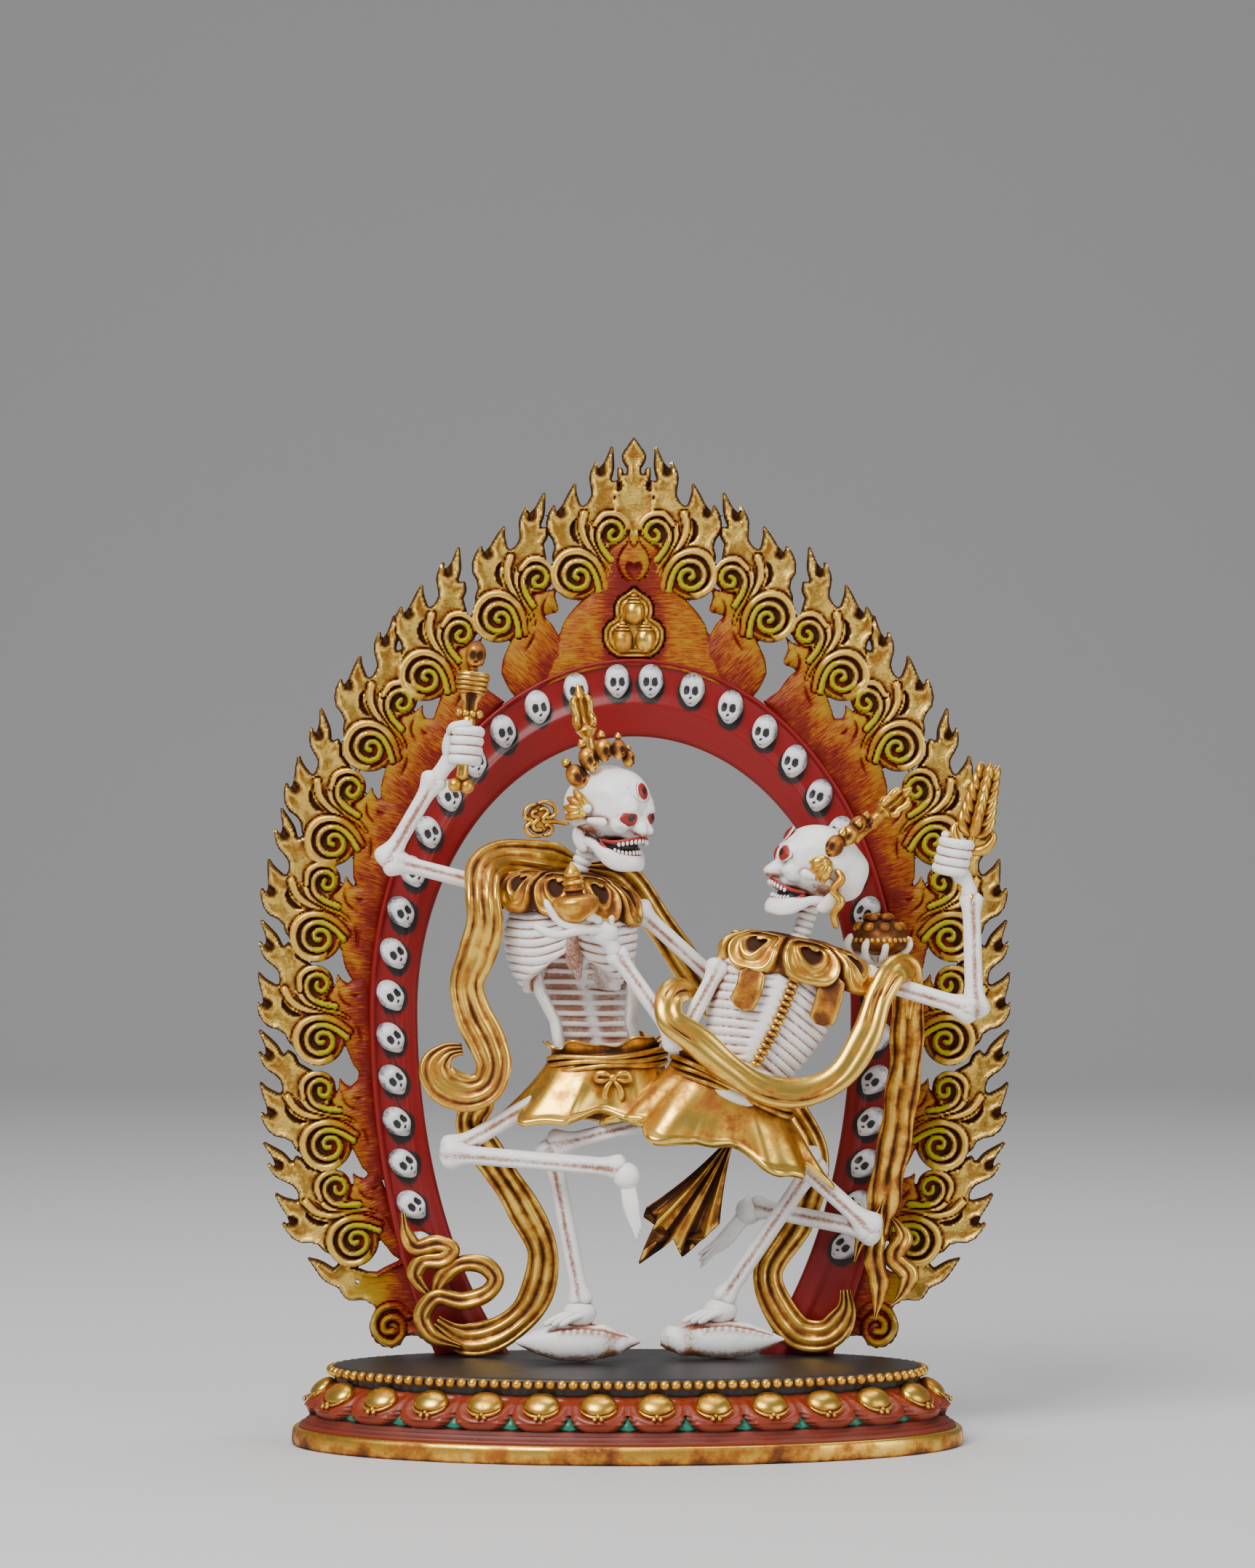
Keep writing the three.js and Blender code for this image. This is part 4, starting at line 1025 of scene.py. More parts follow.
# %% Paint of the flames
FLAME_STEPS = [(0.0, (0.32, 0.23, 0.002)), (0.28, (0.35, 0.185, 0.002)), (0.46, (0.34, 0.135, 0.002)),
               (0.64, (0.28, 0.06, 0.001)), (0.84, (0.18, 0.011, 0.002)), (1.0, (0.13, 0.005, 0.003))]
# The darkest steps stand for painted shade in the deepest hollows of the gilt.
FLAME_GOLD_STEPS = [(0.0, (0.80, 0.52, 0.11)), (0.12, (0.46, 0.28, 0.045)), (0.3, (0.33, 0.12, 0.016)),
                    (0.56, (0.12, 0.038, 0.009)), (0.95, (0.045, 0.016, 0.006))]
LEMON, RED_WASH, PLAIN_BACK = (0.38, 0.34, 0.001), (0.17, 0.007, 0.004), (0.10, 0.022, 0.012)


def flame_paint():
    """Gold outwards, then yellow-green, orange and red towards the band, laid on in strokes along u. The wash
    follows the relief's own hollows and deepens to painted shade in the deepest of them, and raised lines are
    rubbed bright."""
    material, tree, shader = new_material("flame_paint")
    place = object_coords(tree)
    warmth, low = attribute(tree, "warmth"), attribute(tree, "low")
    along = node(tree, "ShaderNodeCombineXYZ", {
        0: math_node(tree, "MULTIPLY", attribute(tree, "stroke_u"), 0.35),
        1: math_node(tree, "MULTIPLY", attribute(tree, "stroke_v"), 3.2)}).outputs[0]
    hairs = ranged(tree, noise(tree, along, 1.5, 5, 0.7), 0.3, 0.7)
    clouds = noise(tree, place, 380, 4)
    specks = noise(tree, place, 2800, 3)
    broken = total(tree, warmth, (less(tree, hairs, 0.5), 0.52), (less(tree, clouds, 0.5), 0.9))
    yellow = ranged(tree, total(tree, attribute(tree, "lemon"), (hairs, 0.3)), 0.55, 0.75)
    paint = mixed(tree, yellow, ramp(tree, broken, FLAME_STEPS), LEMON)
    painted = ranged(tree, total(tree, warmth, (less(tree, clouds, 0.5), 0.45)), 0.02, 0.2)
    painted = math_node(tree, "MAXIMUM", painted, yellow)
    # How closed in a place is: a brown wash in the hollows, deepened to painted shade where they close in
    # most.
    hollow = total(tree, low, (recess(tree, 1.0), 0.42), less(tree, clouds, 0.46),
                   (less(tree, specks, 0.48), 0.5))
    red = mixed(tree, ranged(tree, hollow, 0.2, 0.62), paint, RED_WASH)
    colour = mixed(tree, painted, ramp(tree, hollow, FLAME_GOLD_STEPS), red)
    unwashed = less(tree, 1.0, ranged(tree, hollow, 0.3, 0.7))
    bare = math_node(tree, "MULTIPLY", less(tree, 1.0, painted), unwashed, clamp=True)
    behind = attribute(tree, "behind")
    in_front = math_node(tree, "SUBTRACT", 1.0, behind, clamp=True)
    rough_gold = ramp(tree, hollow, [(0.0, 0.30), (0.4, 0.44), (0.9, 0.62)])
    glossy_gold = ramp(tree, hollow, [(0.2, 0.4), (0.7, 0.1)])
    dress(tree, shader, {
        "Base Color": mixed(tree, behind, colour, PLAIN_BACK),
        "Metallic": math_node(tree, "MULTIPLY", bare, 0.82),
        "Roughness": mixed(tree, painted, rough_gold, 0.52),
        "Specular IOR Level": mixed(tree, painted, glossy_gold, 0.2),
        "Normal": bump(tree, total(tree, (hairs, in_front), (specks, 0.5)), 0.03, 0.5)})
    return material


flame_finish = flame_paint()
make_piece("flame_fringe", fringe, ["flame_arch"], flame_finish, weld=True, crisp=48)

# %% [markdown]
# ## The band and its skulls
#
# The band is a long moulding: one section, with a rim outside and a ridge inside, carried round a horseshoe.
# The horseshoe is two half ovals, a short one above and a long one below, and both ends stand flat on the
# plate. The skulls are one small carving, set in again and again, and just below each a black shadow is
# painted on the band.


# %% The moulding of the band
BAND_ROWS = 520
SECTION = np.array([(0.0, 0.55), (0.015, 0.95), (0.045, 1.18), (0.08, 1.22), (0.115, 1.05), (0.15, 0.78),
                    (0.18, 0.64), (0.25, 0.57), (0.36, 0.54), (0.48, 0.54), (0.58, 0.6), (0.635, 0.74),
                    (0.67, 1.0), (0.7, 1.15), (0.73, 1.13), (0.78, 0.95), (0.85, 0.8), (0.93, 0.68),
                    (0.98, 0.55), (1.0, 0.3)])


def band_point(share, turn):
    """A place on the band's face, by its share from the outer edge to the inner one and by its angle."""
    side = OUTER["side"] + (INNER["side"] - OUTER["side"]) * share
    up, down = (OUTER[key] + (INNER[key] - OUTER[key]) * share for key in ("up", "down"))
    return side * np.cos(turn), ARCH_MIDDLE + np.where(np.sin(turn) > 0, up, down) * np.sin(turn)


section = np.vstack([SECTION, [(1.0, -1.0), (0.5, -1.0), (0.0, -1.0)]])
drop = OUTER["down"] + (INNER["down"] - OUTER["down"]) * section[:, 0]
foot_turn = np.arcsin((ARCH_MIDDLE - ARCH_FOOT) / drop)
row = np.linspace(0, 1, BAND_ROWS)[:, None]
turn = -foot_turn + (math.pi + 2 * foot_turn) * row
even_share = section[:, 0]
crown_share = even_share - 0.64 * even_share * (1 - even_share) * np.clip(np.sin(turn), 0, 1)
across, up = band_point(crown_share, turn)
band_points = np.stack([across, np.broadcast_to(11 - section[:, 1], across.shape), up], -1)

# %% Where the skulls sit
SKULLS_A_SIDE, FIRST_SKULL, SKULL_PITCH = 17, 2.2, 5.5
fine_turn = np.linspace(math.pi / 2, -1.0, 3000)
skull_share = 0.45 - 0.17 * np.clip(np.sin(fine_turn), 0, 1) ** 1.5
line = np.stack(band_point(skull_share, fine_turn), -1)
run = np.r_[0, np.cumsum(np.linalg.norm(np.diff(line, axis=0), axis=1))]
skull_run = FIRST_SKULL + SKULL_PITCH * np.arange(SKULLS_A_SIDE)
right_side = np.stack([np.interp(skull_run, run, line[:, 0]), np.interp(skull_run, run, line[:, 1])], -1)
lean = (math.pi / 2 - np.interp(skull_run, run, fine_turn)) * 0.42
skull_places = np.vstack([right_side, right_side * (-1, 1)])
skull_lean = np.r_[lean, -lean]
# Black painted shadows on the band face, each a little below its skull.
shadow = skull_places + 0.75 * np.stack([-np.sin(skull_lean), -np.cos(skull_lean)], -1)
apart = np.hypot(band_points[..., 0, None] - shadow[:, 0], (band_points[..., 2, None] - shadow[:, 1]) * 0.8)
soot = (1 - eased(apart.min(-1), 1.3, 2.7)) * (section[:, 1] > -1)
band = surface(band_points, soot=soot)
print(len(skull_places), "places for skulls")


# %% Band paint, and the band itself
def band_paint():
    """Deep red lacquer with fine scratches, darker as painted shade in its hollows, and black painted shadows
    under the skulls.
    """
    material, tree, shader = new_material("band_red_paint")
    place = object_coords(tree)
    clouds = noise(tree, place, 260, 4)
    specks = noise(tree, place, 2600, 4, distortion=0.5)
    shade = total(tree, recess(tree, 1.2), (clouds, 0.25))
    paint = mixed(tree, ranged(tree, shade, 0.15, 0.8), (0.22, 0.0055, 0.006), (0.08, 0.004, 0.005))
    # The skulls' painted shadows, their edges broken by the clouds.
    ragged_skull_shadow = total(tree, attribute(tree, "soot"), (less(tree, clouds, 0.5), 1.1))
    paint = mixed(tree, ranged(tree, ragged_skull_shadow, 0.5, 0.8), paint, (0.018, 0.012, 0.012))
    scratch = math_node(tree, "MULTIPLY", ranged(tree, specks, 0.66, 0.8), 0.35)
    dress(tree, shader, {
        "Base Color": mixed(tree, scratch, paint, (0.55, 0.16, 0.12)),
        "Roughness": ramp(tree, shade, [(0.1, 0.38), (0.9, 0.55)]),
        "Normal": bump(tree, specks, 0.03, 0.45), "Specular IOR Level": 0.35})
    return material


make_piece("skull_band", band, ["flame_arch"], band_paint(), crisp=60)


# %% [markdown]
# ## Skulls
#
# A skull here is a ball whose radius changes with direction: wide and round above, narrow at the jaw, with
# hollows for the eyes and the nose and a swelling for each cheek. The same recipe gives the thirty-four small
# skulls of the band and the plain heads on the crowns.


# %% One small skull
def dent(direction, towards, width):
    """1 in the middle of a round spot on the ball, and 0 outside it."""
    towards = unit(np.array(towards, float))
    angle = np.arccos(np.clip(direction @ towards, -1, 1))
    return 1 - eased(angle, width * 0.35, width)


def dents(way, x, y, z, width):
    """The same round spot on the left and on the right."""
    return dent(way, (-x, y, z), width) + dent(way, (x, y, z), width)


def small_skull(rows=20, columns=26):
    """A skull of half-sizes about 1 by 1 by 1.3 that faces -Y. The number ink is 1 in its eyes and nose; its
    number for stain and shade darkens its top and its sides as painted shade.
    """
    way = directions(rows, columns, 0.05)
    eyes = dents(way, 0.43, -1, -0.08, 0.46)
    nose = dents(way, 0.11, -1, -0.60, 0.17)
    cheeks = dents(way, 0.66, -0.8, -0.45, 0.45)
    brow = dents(way, 0.4, -1, 0.4, 0.4) + dent(way, (0, -1, -1.0), 0.4)
    mouth = dents(way, 0.2, -1, -1.45, 0.2)
    jaw = eased(-way[..., 2], 0.1, 0.95)
    radius = 1 - 0.20 * eyes - 0.10 * nose + 0.10 * cheeks - 0.06 * mouth + 0.05 * brow
    points = way * radius[..., None] * (1, 1, 1.36)
    points[..., 0] *= 1 - 0.26 * jaw
    points[..., 1] *= 1 - 0.12 * jaw
    ink = np.clip(eyes + 0.8 * nose + 0.55 * mouth, 0, 1)
    # A faint even tone, and painted grey shade over the top and towards the sides.
    stain = 0.1 + 0.3 * eased(way[..., 2], 0.35, 0.95) + 0.3 * eased(np.abs(way[..., 0]), 0.68, 0.95)
    return surface(points, ink=ink, stain=stain)


SKULL_SIZE, SKULL_SEAT, SKULL_TURN, SKULL_DEPTH = 1.66, 10.35, 0.32, 0.85
upright = 0 * skull_lean
inwards = -np.sign(skull_places[:, 0]) * SKULL_TURN * np.clip(np.abs(skull_places[:, 0]) / 20, 0, 1)
across_skull = np.stack([np.cos(skull_lean), upright, -np.sin(skull_lean)], -1)
behind_skull = np.stack([upright, upright + SKULL_DEPTH, upright], -1)
cos_turn, sin_turn = np.cos(inwards)[:, None], np.sin(inwards)[:, None]
lean_axes = np.stack([across_skull * cos_turn + behind_skull * sin_turn,
                      behind_skull * cos_turn - across_skull * sin_turn,
                      np.stack([np.sin(skull_lean), upright, np.cos(skull_lean)], -1)], 1) * SKULL_SIZE
seats = np.stack([skull_places[:, 0], np.full(len(skull_places), SKULL_SEAT), skull_places[:, 1]], -1)
band_skulls = copies(small_skull(), seats, lean_axes)
# The band's skulls go near-black grey in their hollows and on their tops and sides: painted grey shade.
skull_paint = bone_paint("band_skull_paint", white=(0.86, 0.84, 0.84), hollow_wash_and_shade=(0.07, 0.065, 0.075),
                         inks=[("ink", (0.012, 0.010, 0.010))])
make_piece("band_skulls", band_skulls, ["flame_arch"], skull_paint)

# %% The three jewels
jewel_parts = []
for middle_x, middle_z in JEWELS:
    jewel_parts.append(ball((middle_x, 9.8, middle_z - 0.15), (1.32, 1.15, 1.7), 14, 20))
    for lift, radius in ((1.2, 0.92), (1.62, 0.72)):
        ring_turn = np.linspace(0, 2 * math.pi, 20)
        ring_path = np.stack([middle_x + radius * np.cos(ring_turn), 9.7 + 0.85 * radius * np.sin(ring_turn),
                              np.full(20, middle_z + lift)], -1)
        jewel_parts.append(tube(ring_path, (0.17, 0.17), sides=8, steps=28, facing=(0, 0, 1)))
    jewel_parts.append(ball((middle_x, 9.9, middle_z + 1.95), (0.5, 0.5, 0.42), 8, 12))
    curl = np.array([(-0.3, 0.35), (0.0, 0.5), (0.3, 0.3), (0.1, 0.0), (0.35, -0.3), (0.1, -0.6),
                     (-0.15, -0.45)])
    curl_y = 9.8 - 1.14 * np.sqrt(np.clip(1 - (curl[:, 0] / 1.25) ** 2 - (curl[:, 1] / 1.6) ** 2, 0, 1))
    curl_path = np.stack([middle_x + curl[:, 0], curl_y, middle_z + curl[:, 1]], -1)
    jewel_parts.append(tube(curl_path, (0.03, 0.06, 0.03), sides=6, steps=18))
make_piece("three_jewels", joined(jewel_parts), ["flame_arch"], gold_finish)

# %% [markdown]
# ## Bones
#
# A long bone of the statue is a rod with a double knob at each end and a groove down the shaft, painted
# ivory with a reddish line left in the groove. It could be carved from a cylinder. Here it is a profile
# carried along a line: two formulas give its width and its dent, so every bone of both figures is one call.


# %% Long bones
BONE_STEPS, BONE_SIDES = 44, 24


def bone(start, end, knobs, shaft):
    """A long bone. The radius falls from each knob to the shaft as a bell curve, the ends are round, the
    knobs spread sideways into two lobes, and a groove with a wash in it runs down the front and the back."""
    start, end = arrays(start, end)
    along = unit(end - start)
    start, end = start - 0.5 * knobs[0] * along, end + 0.5 * knobs[1] * along
    length = np.linalg.norm(end - start)
    share = 0.5 - 0.5 * np.cos(np.linspace(0, math.pi, BONE_STEPS))
    path = start + share[:, None] * (end - start)
    from_start, from_end = share * length, (1 - share) * length
    swell = [bell(np.clip(far - 0.7 * knob, 0, None), 0.95 * knob)
             for far, knob in zip((from_start, from_end), knobs)]
    radius = shaft + (knobs[0] - shaft) * swell[0] + (knobs[1] - shaft) * swell[1]
    near_end = np.clip(np.minimum(from_start / (0.8 * knobs[0]), from_end / (0.8 * knobs[1])), 0.03, 1)
    radius = radius * np.sqrt(1 - (1 - near_end) ** 2)
    lobes = np.maximum(*swell)[:, None]
    turn = circle(BONE_SIDES)
    front_gap = (turn + 0.16 - math.pi / 2 + math.pi) % (2 * math.pi) - math.pi
    back_gap = (turn + math.pi / 2 + math.pi) % (2 * math.pi) - math.pi
    cleft = bell(front_gap, 0.34) + bell(back_gap, 0.34)
    section = radius[:, None] * (1 - (0.24 - 0.02 * lobes) * cleft * (1 - 0.25 * lobes))
    stain = 0.42 * cleft * (1 - 0.3 * lobes) + 0.05
    return carried(path, section * np.cos(turn) * (1.04 + 0.14 * lobes), section * np.sin(turn), stain=stain)


def limb(upper, middle, lower, knobs=(1.5, 1.7, 1.5), shaft=1.0):
    """Two long bones that meet side by side at the middle joint."""
    upper, middle, lower = arrays(upper, middle, lower)
    fold = 0.45 * unit(unit(upper - middle) + unit(lower - middle))
    return [bone(upper, middle + 0.2 * fold, knobs[:2], shaft),
            bone(middle - 0.6 * fold, lower, knobs[1:], shaft)]


def turned_axes(yaw, nod=0, roll=0):
    """Where a shape's own X, Y and Z point after a roll, a nod upwards and a turn to the right, in degrees.
    The shape faces -Y before."""
    y, n, r = np.radians((yaw, nod, roll))
    rolled = [[np.cos(r), 0, -np.sin(r)], [0, 1, 0], [np.sin(r), 0, np.cos(r)]]
    nodded = [[1, 0, 0], [0, np.cos(n), -np.sin(n)], [0, np.sin(n), np.cos(n)]]
    yawed = [[np.cos(y), np.sin(y), 0], [-np.sin(y), np.cos(y), 0], [0, 0, 1]]
    return np.array(rolled) @ np.array(nodded) @ np.array(yawed)


# %% Heads
def marked(shape, **values):
    """The shape with the same numbers at all its points."""
    numbers = {key: np.full(len(shape["points"]), value) for key, value in values.items()}
    return {**shape, "numbers": {**shape["numbers"], **numbers}}


CRANIUM_HALF = (4.75, 5.7, 4.8)


def cranium():
    """The upper skull, facing -Y: an oval ball with folds over the nose, and with the brow, the eye rims, the
    nose, the cheeks and the upper jaw as round swellings and dents, cut flat below."""
    way = directions(80, 114, 0.03)
    height = way[..., 2]
    lift = 0.35 * dents(way, 0.40, -0.9, -0.08, 0.30) + 0.85 * dents(way, 0.66, -0.80, -0.78, 0.30)
    lift += 0.95 * dent(way, (0, -1, -0.66), 0.28) + 0.55 * dents(way, 0.17, -1, -0.72, 0.18)
    lift += 0.75 * dent(way, (0, -1, -1.02), 0.5)
    lift += 0.42 * dents(way, 0.37, -0.92, -0.40, 0.40) - 0.22 * dents(way, 0.37, -0.92, -0.40, 0.25)
    lift -= 0.42 * dents(way, 0.98, -0.30, -0.12, 0.5) + 0.4 * dents(way, 0.36, -0.92, -0.88, 0.2)
    ring = np.hypot(way[..., 0], (height - 0.34) * 1.15)
    folds = np.sin((ring - 0.26) * 42) * eased(ring, 0.22, 0.3)
    folds = folds * (1 - eased(ring, 0.42, 0.55)) * (way[..., 1] < 0)
    lift += 0.10 * folds * eased(0.30 - height, 0, 0.12) * (1 - eased(np.abs(way[..., 0]), 0.42, 0.6))
    behind = 0.45 * dents(way, 0.92, 0.35, -0.62, 0.34) + 0.3 * dent(way, (0, 1, -0.6), 0.5)
    lift += behind + 0.8 * dent(way, (0, 1, -0.1), 1.0)
    points = way * CRANIUM_HALF + way * lift[..., None]
    narrow = eased(-height, 0.25, 1.0)
    points[..., 0] *= 1 - 0.20 * narrow
    flat = -4.75 + 0.04 * height + 0.25 * eased(-way[..., 1], 0.2, 0.9)
    points[..., 2] = np.maximum(points[..., 2], flat)
    # The nose opening is stained brown and the fold grooves keep a wash; low on the sides behind the cheeks
    # and under the back of the skull, the darkening is painted shade.
    stain = 0.42 * dents(way, 0.14, -1, -0.84, 0.17) + 0.34 * dents(way, 0.9, 0.35, -0.78, 0.5)
    stain = stain + 0.2 * (folds < -0.3) + 0.2 * eased(-height, 0.5, 0.75) * (way[..., 1] > -0.2)
    return surface(points, stain=stain)


def eye(centre, size, gaze, slant=0.0, corner=0.0):
    """A round eye with one pointed corner: a flat ball that looks along the gaze, black in the middle and
    red round that."""
    shape = ball((0, 0, 0), (1, 1, 1), 22, 32)
    points = shape["points"]
    out = np.hypot(points[:, 0], points[:, 2])
    shape["numbers"] = {"blood": 1 - eased(out, 0.93, 0.99), "dark": 1 - eased(out, 0.36, 0.44)}
    far = np.clip(points[:, 0] * corner, 0, 1)
    points = np.stack([points[:, 0] + 0.3 * corner * far ** 3, points[:, 1],
                       points[:, 2] * (1 - 0.35 * far ** 2)], -1)
    points[:, 2] += slant * points[:, 0]
    front = unit(np.array(gaze, float))
    side = unit(np.cross(front, (0, 0, 1)))
    axes = np.stack([-side, -front, np.cross(side, front)])
    return {**shape, "points": np.array(centre) + (points * size) @ axes}


def head(centre, yaw, nod=0, size=1.0, eyes=(-4.85, -1.9), third=1.45):
    """A whole head: cranium, cheek arches, three eyes, two rows of teeth in thin red gums, and a deep lower
    jaw that gapes."""
    jaw_line = [(-3.1, 2.1, -4.7), (-3.1, 0.2, -5.3), (-2.95, -1.5, -6.5), (-2.3, -3.1, -7.5),
                (0, -4.3, -7.7)]
    jaw_line += [(-x, y, z) for x, y, z in jaw_line[-2::-1]]
    path = curve(jaw_line, 64)
    share = np.abs(np.linspace(-1, 1, 64))[:, None]
    around = circle(20)
    deep = np.interp(share, [0, 0.25, 0.45, 0.7, 1], [1.05, 1.15, 1.1, 0.62, 0.6])
    jaw = carried(path, 0.62 * np.cos(around) + 0 * share, deep * np.sin(around), (0, 0, 1),
                  stain=0.05 + 0 * deep * around)
    upper_gum = [(-3.1, -1.0, -4.7), (-2.75, -3.0, -5.0), (-1.6, -4.8, -4.75), (0, -5.4, -4.55)]
    lower_gum = [(-3.1, -1.0, -4.9), (-2.75, -2.1, -6.0), (-1.6, -3.7, -6.75), (0, -4.4, -6.7)]
    rows = []
    for line, bite in ((upper_gum, -0.30), (lower_gum, 0.30)):
        line = np.array(line + [(-x, y, z) for x, y, z in line[-2::-1]])
        rows.append(marked(tube(line, (0.2, 0.26, 0.25, 0.26, 0.2), sides=8, steps=34), blood=1))
        spots = curve(line, 23)[5:-5] + (0, -0.1, bite)
        tooth = ball(size=(0.23, 0.24, 0.36), rows=6, columns=8)
        rows.append(copies(tooth, spots))
    cheek = [tube([(side * 4.1, 2.6, -2.5), (side * 4.5, -0.2, -2.25), (side * 3.9, -2.9, -2.5)],
                  (0.55, 0.4, 0.65), 10, 18)
             for side in (-1, 1)]
    hinge = [tube([(side * 3.2, 1.2, -6.2), (side * 3.35, 2.4, -4.4), (side * 3.3, 2.5, -3.0)],
                  (0.9, 1.0, 0.8), 12, 14,
                  flat=0.6, facing=(1, 0, 0)) for side in (-1, 1)]
    eye_size = (1.2, 0.7, 1.15)
    parts = [
        cranium(), jaw, *rows, *cheek, *hinge,
        # A black ball inside the open mouth: painted shade for the dark inside it.
        marked(ball((0, -1.5, -5.7), (2.6, 2.5, 1.1), 10, 16), dark=1),
        eye((-1.9, *eyes), eye_size, (-0.36, -1, -0.02), 0.05, -1),
        eye((1.9, *eyes), eye_size, (0.36, -1, -0.02), -0.05, 1),
        eye((0, -5.45, third), (0.95, 0.4, 1.15), (0, -1, 0.25)),
    ]
    return moved(joined(parts), centre, turned_axes(yaw, nod), size)


# %% Rib cages, necks and loins
def rib_cage(top, bottom, half_widths, depth, dip, rise, pitch, front_end=0.0):
    """A barrel of ribs. From the flank each rib sinks by the dip and then climbs by the rise to the middle
    line; both change from the top rib to the lowest. A rib lies where the body's own length, less that
    shift, is a whole number of pitches. front_end lifts the lower edge in front, as an arch that peaks at the
    breastbone; under it the barrel is hollow."""
    top, bottom = arrays(top, bottom)
    rows, columns = 124, 126
    axis = bottom - top
    length = np.linalg.norm(axis)
    side = unit(np.array([-axis[2], 0, axis[0]]))
    front = unit(np.cross(axis, side))
    front = front if front[1] < 0 else -front
    turn = circle(columns)
    arch = eased(np.cos(turn), -0.05, 0.35) * (1 - 0.8 * np.abs(np.sin(turn)))
    end = 1 - front_end / length * arch
    down = np.linspace(0, 1, rows)[:, None] * end
    width = np.interp(down, np.linspace(0, 1, len(half_widths)), half_widths)
    lateral = np.abs(np.sin(turn))
    sink, climb = np.interp(down, [0, 1], dip), np.interp(down, [0, 1], rise)
    shift = sink * np.sin(math.pi * lateral) - climb * (1 - lateral)
    phase = (down * length - shift) / pitch
    rib = np.abs(np.cos(math.pi * phase)) ** 0.5
    breast = bell(np.sin(turn / 2) * 2 * width, 0.8, 4)
    edge = eased(np.linspace(0, 1, rows), 0.97, 1.0)[:, None]
    swell = (0.48 * rib - 0.32) * (1 - breast) * (1 - edge) + 0.18 * breast
    stain = 0.42 * (1 - eased(rib, 0.15, 0.55)) * (1 - breast)
    rings = [(down * length, width + swell, width * depth + swell)]
    if front_end:
        hollow = np.linspace(0.0, 1, 9)[1:, None]
        last, wide = down[-1] * length, width[-1]
        lift = last - (last - 0.3 * length) * eased(hollow, 0, 1)
        rings.append((lift, wide * (0.88 - 0.86 * hollow), (wide * depth) * (0.88 - 0.86 * hollow)))
    height, across, out = map(np.vstack, zip(*rings))
    across, out = across * np.sin(turn), out * np.cos(turn)
    if front_end:
        out[rows:] -= 0.8 * half_widths[2] * depth * hollow
    stain = np.vstack([stain, np.full((len(height) - rows, columns), 0.3)])
    points = top + height[..., None] * unit(axis) + across[..., None] * side + out[..., None] * front
    return surface(points, stain=stain)


def ringed(start, end, radius, rings, swell=0.16, sides=20):
    """A rod with round rings: its radius rises and falls as the size of a sine."""
    start, end = arrays(start, end)
    share = np.linspace(0, 1, rings * 8 + 1)
    path = start + share[:, None] * (end - start)
    size = radius * (1 - swell + swell * 2 * np.abs(np.sin(share * math.pi * rings)) ** 0.6)
    turn = circle(sides)
    return carried(path, np.outer(size, np.cos(turn)), np.outer(size, np.sin(turn)), (0.2, -1, 0.1))


def hollow_loins(top, bottom, half_widths, depth, wall, rows, bars):
    """The hollow belly: a half pipe open to the front, its back wall crossed by pairs of short bars."""
    top, bottom = arrays(top, bottom)
    down = np.linspace(0, 1, rows)[:, None]
    width = np.interp(down, np.linspace(0, 1, len(half_widths)), half_widths)
    turn = np.radians(np.linspace(58, 302, 66))
    centre = top + down * (bottom - top)
    at_back = eased(-np.cos(turn), 0.1, 0.4) * (1 - bell(np.sin(turn), 0.15))
    bar = eased(np.sin((down * bars + 0.12 * np.abs(np.sin(turn))) * 2 * math.pi), -0.3, 0.5) * at_back
    inner = width - wall + 0 * bar
    ring = np.concatenate([width + 0 * turn, inner[:, ::-1]], 1)
    deep = np.concatenate([width * depth + 0.3 * bar, (0.36 * inner - 0.5 * bar)[:, ::-1]], 1)
    inside = 0.05 * eased(-np.cos(turn), -0.2, 0.4) + 0.26 * (at_back - bar)
    stain = np.concatenate([0.05 + 0.25 * (at_back - bar), (inside + 0 * bar)[:, ::-1]], 1)
    both = np.r_[turn, turn[::-1]]
    points = centre[:, None] + np.stack([ring * np.sin(both), -deep * np.cos(both), 0 * ring], -1)
    return surface(points, stain=stain)


# %% Hands and feet
def finger(points, thick):
    """One finger: a thin rod with a swelling at its joints."""
    return tube(points, (thick * 1.05, thick * 0.85, thick, thick * 0.82, thick * 0.9, thick * 0.6), 10, 22)


def fist(centre, axis, towards, size):
    """A hand closed round a rod: a back, and four fingers that curl round the rod one above another. The
    fingers show on the side that towards names."""
    axis, towards = map(unit, arrays(axis, towards))
    side = unit(np.cross(axis, towards))
    turn = np.radians(np.linspace(-105, 130, 9))
    parts = []
    for lift in (-1.72, -0.58, 0.58, 1.72):
        curl = 1.75 * (np.cos(turn)[:, None] * towards + np.sin(turn)[:, None] * side)
        thick = np.array((0.72, 0.7, 0.74, 0.66)) * size
        parts.append(tube(np.array(centre) + size * (lift * axis + curl), thick, 10, 22, facing=tuple(axis)))
    back = ball((0, 0, 0), (1.5, 1.7, 2.45), 14, 20)
    parts.append(moved(back, np.array(centre) - 1.05 * size * towards - 0.4 * side * size,
                       np.stack([towards, side, axis]), size))
    thumb = np.array([(-1.2, -1.4, 1.4), (-0.2, -2.0, 2.1), (0.9, -1.6, 2.5), (1.7, -0.6, 2.5)]) * size
    parts.append(finger(np.array(centre) + thumb @ np.stack([towards, side, axis]), 0.6 * size))
    return joined(parts)


